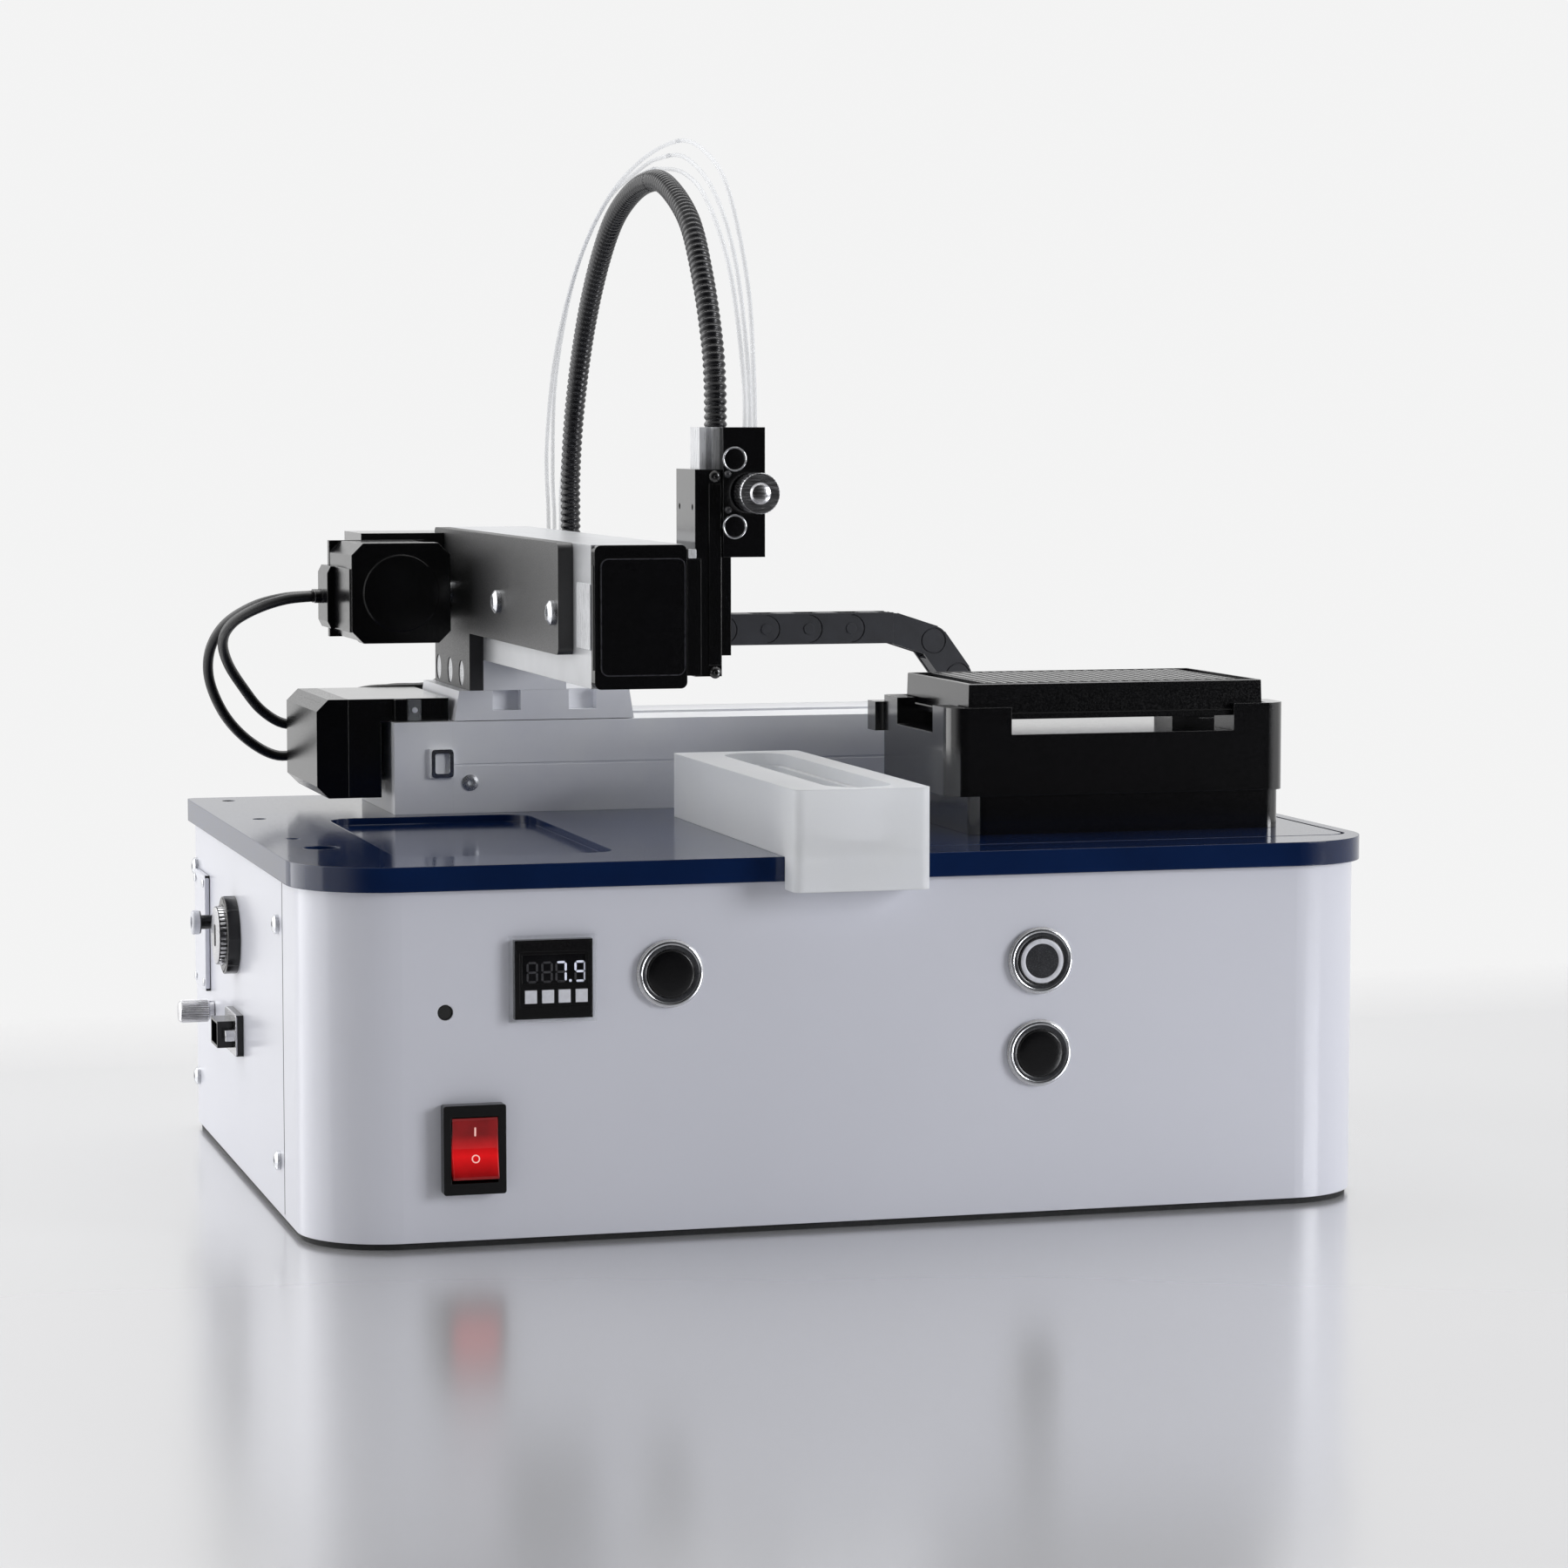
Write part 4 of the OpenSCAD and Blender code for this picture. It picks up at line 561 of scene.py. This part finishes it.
def across_two_joints(name, path, radius_at, sides, slot, node):
    """A cord from the head to the carriage, in two lengths that meet at its top.
    Both are fixed meshes in world space that ride on no body."""
    top = max(range(len(path)), key=lambda i: path[i].z)
    front, back = path[:top + 1], path[top:]
    for part, points, done, first, second in (("_front", front, 0, "head", "y_table"),
                                              ("_back", back, path_length(front), "y_table", "x_carriage")):
        piece = tube(name + part, points, lambda s: radius_at(s + done), sides, MATERIALS[slot])
        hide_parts(node)
        declare(points)
        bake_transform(piece)


def make_hose():
    def radius(s):
        """Round ridges, with narrower grooves between them."""
        wave = 0.5 + 0.5 * math.cos(2 * math.pi * s / CORRUGATION)
        return HOSE_D / 2 - GROOVE * (1 - wave ** 0.6)

    path = even_path(smooth_path(HOSE_ROUTE), CORRUGATION / 6)
    across_two_joints("hose_corrugated", path, radius, 20, "hose_plastic", "hose")


def make_fluid_tubes():
    for name, route in (("fluid_tube_a", TUBE_A), ("fluid_tube_b", TUBE_B), ("fluid_tube_c", TUBE_C)):
        path = even_path(smooth_path(route), 4)
        across_two_joints(name, path, lambda s: TUBE_D / 2, 12, "tube_plastic", "fluid_tubes")


def make_motor_cables():
    for name, route in (("motor_cable_a", CABLE_A), ("motor_cable_b", CABLE_B)):
        path = even_path(smooth_path(route), 2)
        piece = tube(name, path, lambda s: CABLE_D / 2, 16, MATERIALS["cable_rubber"])
        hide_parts("y_motor_cables")
        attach(piece, "x_carriage")
        declare(path)


make_hose()
make_fluid_tubes()
make_motor_cables()

# ---- Energy chain ----


def make_chain():
    """The two straight runs, as fixed copies of their meshes in the chain's plastic, riding on no body."""
    runs = (("chain_upper", "x_carriage", "base", -84), ("chain_lower", "base", "x_carriage", 20))
    for node, first, second, x0 in runs:
        mesh = frame["nodes"][node].data.copy()
        copy = place(node + "_links", mesh, MATERIALS["chain_plastic"], None)
        copy.data.materials.clear()
        copy.data.materials.append(MATERIALS["chain_plastic"])
        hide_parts(node)
        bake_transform(copy)


make_chain()

# ---- Microplate ----

PLATE_AT = (124.7, -54.5, 192)
PLATE_L, PLATE_W, PLATE_H = 127.76, 85.48, 14.35
WELLS = (24, 16)
WELL_PITCH = 4.5
WELL_DEPTH = 11.5
FIELD_DOWN = 1.6


def make_microplate():
    """One closed mesh: skirt, rim, a groove round the field of wells, and square wells that narrow downwards."""
    cx, cy, z0 = PLATE_AT
    top = z0 + PLATE_H
    verts, faces = [], []

    def ring(half_x, half_y, z, px=cx, py=cy):
        start = len(verts)
        verts.extend([(px - half_x, py - half_y, z), (px + half_x, py - half_y, z),
                      (px + half_x, py + half_y, z), (px - half_x, py + half_y, z)])
        return start

    def join(a, b):
        for k in range(4):
            n = (k + 1) % 4
            faces.append((a + k, a + n, b + n, b + k))

    half_x, half_y = PLATE_L / 2, PLATE_W / 2
    grid_x, grid_y = WELLS[0] * WELL_PITCH / 2, WELLS[1] * WELL_PITCH / 2
    rings = [ring(half_x, half_y, z0), ring(half_x, half_y, z0 + 2.2), ring(half_x - 0.9, half_y - 0.9, z0 + 2.6),
             ring(half_x - 1.2, half_y - 1.2, top - 0.3), ring(half_x - 1.5, half_y - 1.5, top),
             ring(half_x - 2.6, half_y - 2.6, top), ring(half_x - 2.8, half_y - 2.8, top - FIELD_DOWN),
             ring(grid_x + 0.3, grid_y + 0.3, top - FIELD_DOWN), ring(grid_x, grid_y, top)]
    for a, b in zip(rings, rings[1:]):
        join(a, b)
    faces.append(tuple(rings[0] + k for k in (3, 2, 1, 0)))
    for i in range(WELLS[0]):
        for j in range(WELLS[1]):
            x = cx - grid_x + (i + 0.5) * WELL_PITCH
            y = cy - grid_y + (j + 0.5) * WELL_PITCH
            steps = [ring(WELL_PITCH / 2, WELL_PITCH / 2, top, x, y), ring(1.6, 1.6, top, x, y),
                     ring(1.5, 1.5, top - 0.3, x, y), ring(1.35, 1.35, top - WELL_DEPTH, x, y)]
            for a, b in zip(steps, steps[1:]):
                join(a, b)
            faces.append(tuple(steps[-1] + k for k in range(4)))
    plate = place("microplate_wells", mesh_of("microplate_wells", verts, faces), MATERIALS["plate_plastic"],
                  "plate")
    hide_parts("microplate")


make_microplate()

# ---- Front controls ----

FRONT_Y = -155
BUTTONS = (("start_button", -76.7, 101.8), ("stop_button", 72.3, 101.8), ("reset_button", 71.9, 65.5))
BEZEL_H = 2.2
DISC_PROUD = 0.5
RINGED_BUTTON = "stop_button"


def make_buttons():
    """Two rings on each bezel, and a domed cap that rides with its button; one cap carries a pale ring."""
    for body, x, z in BUTTONS:
        face_y = FRONT_Y - BEZEL_H
        annulus(body + "_collar", 9.5, 11.9, 0.35, (x, face_y + 0.05, z), (0, -1, 0), DARK_RING, "base")
        annulus(body + "_rim", 11.0, 12.6, 0.5, (x, face_y + 0.15, z), (0, -1, 0), POLISHED, "base")
        cap = DARK_RING if body == RINGED_BUTTON else MATERIALS["black_plastic"]
        lathe(body + "_dome", [(0, 9.15), (0.12, 9.0), (0.25, 8.6), (0.36, 6), (0.4, 3), (0.42, 0.4)],
              (x, face_y - DISC_PROUD, z), (0, -1, 0), cap, body)
        if body == RINGED_BUTTON:
            annulus(body + "_light", 6.8, 8.7, 0.25, (x, face_y - DISC_PROUD - 0.3, z), (0, -1, 0),
                    MATERIALS["key_plastic"], body)


DISPLAY_AT = (-122.6, 101.6)
DIGIT_X = (-133.0, -127.3, -121.9, -114.5)
DIGIT_W, DIGIT_Z0, DIGIT_Z1 = 4.6, 100.3, 108.2
SEGMENTS = {"7": "abc", "9": "abcdfg", " ": ""}
SHOWN = "  79"
BAR_HALF = 0.42
BAR_GAP = 0.18
WINDOW_Y = -158.25
COVER_Y = FRONT_Y - 4


def segment_outline(key, x, z0, z1, w):
    """Six-sided bar of a seven-segment digit."""
    t, gap = BAR_HALF, BAR_GAP
    mid = (z0 + z1) / 2
    bars = {"a": (x, z1, x + w, z1), "g": (x, mid, x + w, mid), "d": (x, z0, x + w, z0),
            "f": (x, mid, x, z1), "b": (x + w, mid, x + w, z1), "e": (x, z0, x, mid), "c": (x + w, z0, x + w, mid)}
    ax, az, bx, bz = bars[key]
    if az == bz:
        ax, bx = ax + gap, bx - gap
        return [(ax, az), (ax + t, az + t), (bx - t, az + t), (bx, az), (bx - t, az - t), (ax + t, az - t)]
    az, bz = az + gap, bz - gap
    return [(ax, az), (ax + t, az + t), (ax + t, bz - t), (ax, bz), (ax - t, bz - t), (ax - t, az + t)]


def make_display():
    """Dark window, two unlit and two lit digits with their point, and the cover's frame."""
    x, z = DISPLAY_AT
    slab("display_window", rounded_rect(x - 12.1, z - 1.3, x + 12.1, z + 9.3, 0.4), on_front(WINDOW_Y + 0.4), 0.4,
         WINDOW, "base")
    width = DIGIT_W - 1.0
    for i, (left, shown) in enumerate(zip(DIGIT_X, SHOWN)):
        for key in "abcdefg":
            on = key in SEGMENTS[shown]
            slab("digit_%d%s" % (i + 1, key), segment_outline(key, left + 0.4, DIGIT_Z0 + 0.3, DIGIT_Z1 - 0.3, width),
                 on_front(WINDOW_Y), 0.06, DIGITS if on else UNLIT, "base")
    slab("digit_point", rounded_rect(-116.6, 100.3, -115.6, 101.3, 0.3), on_front(WINDOW_Y), 0.06, DIGITS, "base")
    outer = rounded_rect(x - 14.6, z - 14.6, x + 14.6, z + 14.6, 1.2)
    inner = rounded_rect(x - 13.2, z - 10.6, x + 13.2, z + 10.6, 0.8)
    framing("display_frame", outer, inner, on_front(COVER_Y), 0.35, MATERIALS["black_plastic"], "base")


def make_front_details():
    """Plug in the small hole, and a dark strip that paints the shade in the seam between front sheet and left panel."""
    lathe("front_plug", [(0, 2.9), (0.5, 2.9), (0.8, 2.5), (0.8, 0.3)], (-163.6, FRONT_Y + 1.4, 89.8), (0, -1, 0),
          RUBBER, "base", 32)
    # Painted shade: a dark strip laid over the seam's narrow gap.
    slab("seam_shade_strip", rounded_rect(-91.5, 4, -90.5, 135.4, 0.2, 1), on_left(-214.8), 0.25, RUBBER, "base")


ROCKER_PIVOT = (-153.6, -156.5, 38)
ROCKER_TURN = Matrix.Rotation(math.radians(-7), 3, "X")
ROCKER_HALF = 10.6
ROCKER_FACE = 4.2
ROCKER_RISE = 1.4
ROCKER_SLOPE = 0.132


def on_rocker():
    """Outline in x and z on the tilted rocker, whose face rises from its middle to both ends."""
    def to_space(u, v, w):
        face = -ROCKER_FACE - ROCKER_RISE * abs(v) / ROCKER_HALF
        return tuple(Vector(ROCKER_PIVOT) + ROCKER_TURN @ Vector((u, face - w, v)))

    return to_space


def make_rocker_marks():
    slab("rocker_mark_on", rounded_rect(-0.32, 4.7, 0.32, 8.1, 0.25), on_rocker(), 0.12, MARKS, "switch_rocker")
    centre = Vector(ROCKER_PIVOT) + ROCKER_TURN @ Vector((0, -4.72, -3.8))
    normal = ROCKER_TURN @ Vector((0, -1, ROCKER_SLOPE))
    annulus("rocker_mark_off", 1.15, 1.6, 0.14, tuple(centre), tuple(normal), MARKS, "switch_rocker", 40)


make_buttons()
make_display()
make_front_details()
make_rocker_marks()

# ---- Left side connectors ----

LEFT_X = -215
ROUND_PORT = (35, 99)
AIR_PORT = (75, 100)
DATA_PORT = (29, 59.5)
REGULATOR = (100, 58.8)


def hex_nut(name, x, y, z, across, length):
    """Steel nut on the left side; across is its width over the flats."""
    radius = across / math.sqrt(3)
    points = [(y + radius * math.cos(math.radians(a)), z + radius * math.sin(math.radians(a)))
              for a in range(0, 360, 60)]
    slab(name, points, on_left(x), length, MATERIALS["steel"], "base", 0.3)


def make_side_ports():
    """Round connector, air coupling, data connector, cover plate and the regulator's turned knob."""
    steel, black = MATERIALS["steel"], MATERIALS["black_plastic"]
    y, z = ROUND_PORT
    lathe("port_flange", [(0, 16.2), (4.6, 16.2), (5.3, 15.4), (5.3, 13), (5.6, 12.6)], (LEFT_X, y, z), (-1, 0, 0),
          black, "base", 8)
    lathe("port_collar", [(5, 12.2), (7.4, 12.2), (8.2, 11.6), (8.4, 10.6)], (LEFT_X, y, z), (-1, 0, 0), steel, "base",
          72, (36, 0.35, 0, 1))
    slab("port_slot", rounded_rect(y - 1.6, z - 4.5, y + 1.6, z + 4.5, 1.2), on_left(LEFT_X - 8.42), 0.15, RUBBER,
         "base")
    y, z = AIR_PORT
    hex_nut("air_nut", LEFT_X, y, z, 11.4, 3.2)
    lathe("air_ring", [(9.2, 4.2), (9.6, 5.1), (12.0, 5.2), (12.6, 4.7), (12.7, 2.6), (11.5, 2.4)], (LEFT_X, y, z),
          (-1, 0, 0), MATERIALS["key_plastic"], "base", 48)
    y, z = DATA_PORT
    slab("data_flange", rounded_rect(y - 15.2, z - 8.7, y + 15.2, z + 8.7, 1.5), on_left(LEFT_X - 2.6), 0.7, steel,
         "base", 0.2)
    for side in (-1, 1):
        hex_nut("data_jack_%s" % ("rear" if side > 0 else "front"), LEFT_X - 3.2, y + side * 12.2, z, 4.6, 4.2)
    slab("rear_cover", rounded_rect(108.8, 65.8, 140.2, 116.2, 2), on_left(LEFT_X - 0.2), 2.1, MATERIALS["housing"],
         "base", 0.5)
    for i, (sy, sz) in enumerate(((112.5, 112.5), (136.5, 112.5), (112.5, 69.5), (136.5, 69.5))):
        lathe("cover_screw_%d" % (i + 1), [(0, 1.9), (0.5, 1.9), (0.9, 1.4), (1.0, 0.5)], (LEFT_X - 2.2, sy, sz),
              (-1, 0, 0), MATERIALS["screws"], "base", 24)
    knob = lathe("regulator_knob_turned",
                 [(0.3, 4.1), (2.2, 4.1), (2.8, 4.9), (3.4, 5.0), (13.6, 5.0), (14.6, 4.6), (15.4, 3.6), (15.5, 1.0)],
                 (LEFT_X, *REGULATOR), (-1, 0, 0), steel, "regulator", 96, (32, 0.45, 3, 4))
    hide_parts("regulator_knob")


make_side_ports()

# ---- Arm, head and drive details ----

HEAD_Y = -147
HEAD_TOP = 309.3
SLIDE_FRONT_Y = -146
TABLE_FRONT_Y = -155.5
CAP_FRONT_Y = -156.09
Y_PROFILE_LEFT = -105.5
LATCH_Y = 51.8
SENSOR_Y = 59.9
KNOB_AT = (-42, 284.3)
DISC_X = -48.9
SLIDE_SCREW_X = -56.2
GLAND_X = -166.9
SLEEVE_Z = 300.5
COLLAR_Z = 300.4


def make_head():
    """Turned clamp knob, ringed discs, small balls and screws, and the sleeves that hose and tubes leave by."""
    x, z = KNOB_AT
    knob = lathe("clamp_knob_turned",
                 [(0.3, 4.6), (2.6, 4.6), (3.0, 7.6), (3.5, 8.0), (12.4, 8.0), (13.0, 7.6), (13.0, 4.1),
                  (13.9, 3.4), (14.3, 2.2), (14.4, 0.4)],
                 (x, HEAD_Y, z), (0, -1, 0), MATERIALS["steel"], "clamp", 120, (40, 0.3, 3, 4))
    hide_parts("clamp_knob")
    for i, depth in enumerate((12.1, 37.8)):
        at = (DISC_X, HEAD_Y - 1.15, HEAD_TOP - depth)
        annulus("disc_rim_%d" % (i + 1), 4.05, 4.7, 0.35, at, (0, -1, 0), POLISHED, "head")
        lathe("disc_face_%d" % (i + 1), [(0, 4.05), (0.15, 4.0), (0.2, 3.7), (0.2, 0.4)], at, (0, -1, 0),
              MATERIALS["dark_anodised"], "head", 48)
    for i, (px, depth) in enumerate(((-51.6, 17.8), (-51.4, 31.4))):
        ball("spring_ball_%d" % (i + 1), 1.45, (px, HEAD_Y - 0.9, HEAD_TOP - depth), DARK_RING, "head")
    for i, screw_z in enumerate((290.6, 215.8)):
        lathe("slide_screw_%d" % (i + 1), [(0, 2.3), (0.6, 2.3), (1.1, 1.9), (1.4, 1.1), (1.45, 0.7), (0.9, 0.6)],
              (SLIDE_SCREW_X, SLIDE_FRONT_Y, screw_z), (0, -1, 0), MATERIALS["dark_anodised"], "y_table",
              36)
    slab("slide_strip", rounded_rect(-58.6, 218.5, -53.7, 287.8, 0.3), on_front(SLIDE_FRONT_Y), 0.5,
         MATERIALS["dark_anodised"], "y_table", 0.15)
    slab("table_clip", rounded_rect(-69.1, 259.8, -65.9, 263.3, 0.4), on_front(TABLE_FRONT_Y + 1), 1.1, SATIN_RAIL,
         "y_table", 0.2)
    for i, (tube_x, tube_y, _) in enumerate((TUBE_A[0], TUBE_B[0], TUBE_C[0])):
        lathe("tube_sleeve_%d" % (i + 1), [(0, 1.0), (3.2, 1.0), (3.9, 0.95)], (tube_x, tube_y, SLEEVE_Z), (0, 0, 1),
              MATERIALS["black_plastic"], "head", 24)
    hose_x, hose_y, _ = HOSE_ROUTE[0]
    lathe("hose_collar", [(0, 6.4), (1.2, 6.4), (1.4, 5.9), (2.4, 5.9), (2.6, 6.4), (4.0, 6.4), (4.6, 6.1),
                          (5.9, 5.4), (6.1, 4.9)], (hose_x, hose_y, COLLAR_Z), (0, 0, 1),
          MATERIALS["black_plastic"], "head", 48)


def make_motor_glands():
    """Rubber glands on the Y motor's connector block, one at the start of each cable."""
    for name, (_, y, z) in (("motor_gland_a", CABLE_A[0]), ("motor_gland_b", CABLE_B[0])):
        lathe(name, [(-1.5, 2.95), (0.6, 2.95), (0.8, 2.7), (2.2, 2.7), (3.4, 2.45), (3.9, 2.3)],
              (GLAND_X, y, z), (-1, 0, 0), MATERIALS["cable_rubber"], "x_carriage", 32)


def make_axis_details():
    """End cap's panel edge, drawn as a thin grey line of painted highlight, and gasket, the bare strip beside it, the
    catch's frame and a small sensor.
    """
    # Painted highlight: a thin grey band along the rim of the end cap's raised panel.
    framing("cap_panel_edge_highlight", rounded_rect(-103.3, 215.5, -70.3, 260, 3),
            rounded_rect(-102.85, 215.95, -70.75, 259.55, 2.6), on_front(CAP_FRONT_Y), 0.1, PANEL_EDGE_HIGHLIGHT,
            "x_carriage")
    slab("cap_gasket", rounded_rect(-154.2, 217.7, -152.6, 257.5, 0.3), on_left(Y_PROFILE_LEFT), 0.3, RUBBER,
         "x_carriage")
    slab("side_strip", rounded_rect(-149.3, 225.1, -126.4, 250.2, 0.5), on_left(Y_PROFILE_LEFT), 0.5, SATIN_RAIL,
         "x_carriage", 0.15)
    framing("latch_frame", rounded_rect(-128.6, 161, -119, 173, 1.6), rounded_rect(-126.9, 162.7, -120.7, 171.3, 1),
            on_front(LATCH_Y), 0.5, POLISHED, "base")
    slab("sensor_body", rounded_rect(-143.2, 184.7, -137.5, 194.2, 0.6), on_front(SENSOR_Y), 3,
         MATERIALS["black_plastic"], "base", 0.3)
    slab("sensor_lens", rounded_rect(-137.4, 184.9, -131.7, 194, 0.6), on_front(SENSOR_Y), 2.8,
         MATERIALS["clear_plastic"], "base", 0.3)
    lathe("sensor_dot", [(0, 1.2), (0.2, 1.2), (0.3, 0.9), (0.3, 0.2)], (-134.5, SENSOR_Y - 2.8, 189.5), (0, -1, 0),
          MATERIALS["key_plastic"], "base", 24)


make_head()
make_motor_glands()
make_axis_details()

# ---- Floor, light and world ----

FLOOR_X = 3000
FLOOR_FRONT, FLOOR_BACK = -900, 560
FLOOR_FADE = (330, 520)
DARK, WHITE = 0.02, 0.9
DARK_TO_WHITE = (-0.92, -0.3)
SOFT_LIGHT = (0.1, 0.36)


def background_rays(tree):
    """1 for rays of the camera, gloss and transmission, else 0."""
    path = tree.nodes.new("ShaderNodeLightPath")
    total = None
    for output in ("Is Camera Ray", "Is Glossy Ray", "Is Transmission Ray"):
        if total is None:
            total = path.outputs[output]
            continue
        add = tree.nodes.new("ShaderNodeMath")
        add.operation = "MAXIMUM"
        tree.links.new(total, add.inputs[0])
        tree.links.new(path.outputs[output], add.inputs[1])
        total = add.outputs[0]
    return total


def make_floor():
    """Pale glossy floor that fades into the background behind the object."""
    corners = [(-FLOOR_X, FLOOR_FRONT, 0), (FLOOR_X, FLOOR_FRONT, 0), (FLOOR_X, FLOOR_BACK, 0),
               (-FLOOR_X, FLOOR_BACK, 0)]
    mesh = bpy.data.meshes.new("floor")
    mesh.from_pydata([Vector(corner) * MM for corner in corners], [], [(0, 1, 2, 3)])
    floor = bpy.data.objects.new("floor", mesh)
    bpy.context.scene.collection.objects.link(floor)
    finish = Finish("floor", (0.75, 0.75, 0.76), 0.2, 0.6).mottled(300, 0.01)
    mesh.materials.append(finish.done())
    parts = finish.add("ShaderNodeSeparateXYZ")
    finish.link(finish.coords, parts.inputs[0])
    fade = finish.ramp(parts.outputs["Y"], 0, 1, FLOOR_FADE[0] * MM, FLOOR_FADE[1] * MM)
    finish.link(fade, mix_in(finish, finish.add("ShaderNodeBsdfTransparent")))


def make_world():
    """White, but dark towards the front for gloss. Its light on matt surfaces is fainter than what shows."""
    world = bpy.data.worlds.new("studio")
    bpy.context.scene.world = world
    world.use_nodes = True
    tree = world.node_tree
    back = tree.nodes["Background"]
    coords = tree.nodes.new("ShaderNodeTexCoord")
    parts = tree.nodes.new("ShaderNodeSeparateXYZ")
    tree.links.new(coords.outputs["Generated"], parts.inputs[0])
    depth = tree.nodes.new("ShaderNodeMapRange")
    depth.interpolation_type = "SMOOTHSTEP"
    depth.inputs["From Min"].default_value = DARK_TO_WHITE[0]
    depth.inputs["From Max"].default_value = DARK_TO_WHITE[1]
    depth.inputs["To Min"].default_value = DARK
    depth.inputs["To Max"].default_value = WHITE
    tree.links.new(parts.outputs["Y"], depth.inputs["Value"])
    path = tree.nodes.new("ShaderNodeLightPath")
    soft = tree.nodes.new("ShaderNodeMix")
    soft.data_type = "FLOAT"
    faint = tree.nodes.new("ShaderNodeMapRange")
    faint.inputs["From Max"].default_value = WHITE
    faint.inputs["To Min"].default_value = SOFT_LIGHT[0]
    faint.inputs["To Max"].default_value = SOFT_LIGHT[1]
    tree.links.new(depth.outputs["Result"], faint.inputs["Value"])
    tree.links.new(faint.outputs["Result"], soft.inputs[2])
    tree.links.new(background_rays(tree), soft.inputs[0])
    tree.links.new(depth.outputs["Result"], soft.inputs[3])
    seen = tree.nodes.new("ShaderNodeMix")
    seen.data_type = "FLOAT"
    seen.inputs[3].default_value = WHITE
    tree.links.new(path.outputs["Is Camera Ray"], seen.inputs[0])
    tree.links.new(soft.outputs[0], seen.inputs[2])
    back.inputs["Color"].default_value = (1, 1, 1, 1)
    tree.links.new(seen.outputs[0], back.inputs["Strength"])


def area(name, at, size, watts, color=(1, 1, 1), target=(0, 0, 170)):
    """Rectangular lamp that faces the target."""
    data = bpy.data.lights.new(name, "AREA")
    data.shape = "RECTANGLE"
    data.size, data.size_y = size[0] * MM, size[1] * MM
    data.energy = watts
    data.color = color
    lamp = bpy.data.objects.new(name, data)
    lamp.location = Vector(at) * MM
    lamp.rotation_euler = (Vector(target) - Vector(at)).to_track_quat("-Z", "Y").to_euler()
    bpy.context.scene.collection.objects.link(lamp)


def make_lights():
    area("left_soft", (-1450, 600, 620), (2000, 1600), 18)
    area("back_left", (-900, 1500, 1250), (2000, 700), 4)
    area("top_back", (200, 550, 1650), (2000, 1300), 18)
    area("key_right", (1600, -1500, 620), (800, 800), 21, (0.96, 0.97, 1.0))


make_floor()
make_world()
make_lights()
bpy.context.scene.view_settings.view_transform = "Standard"
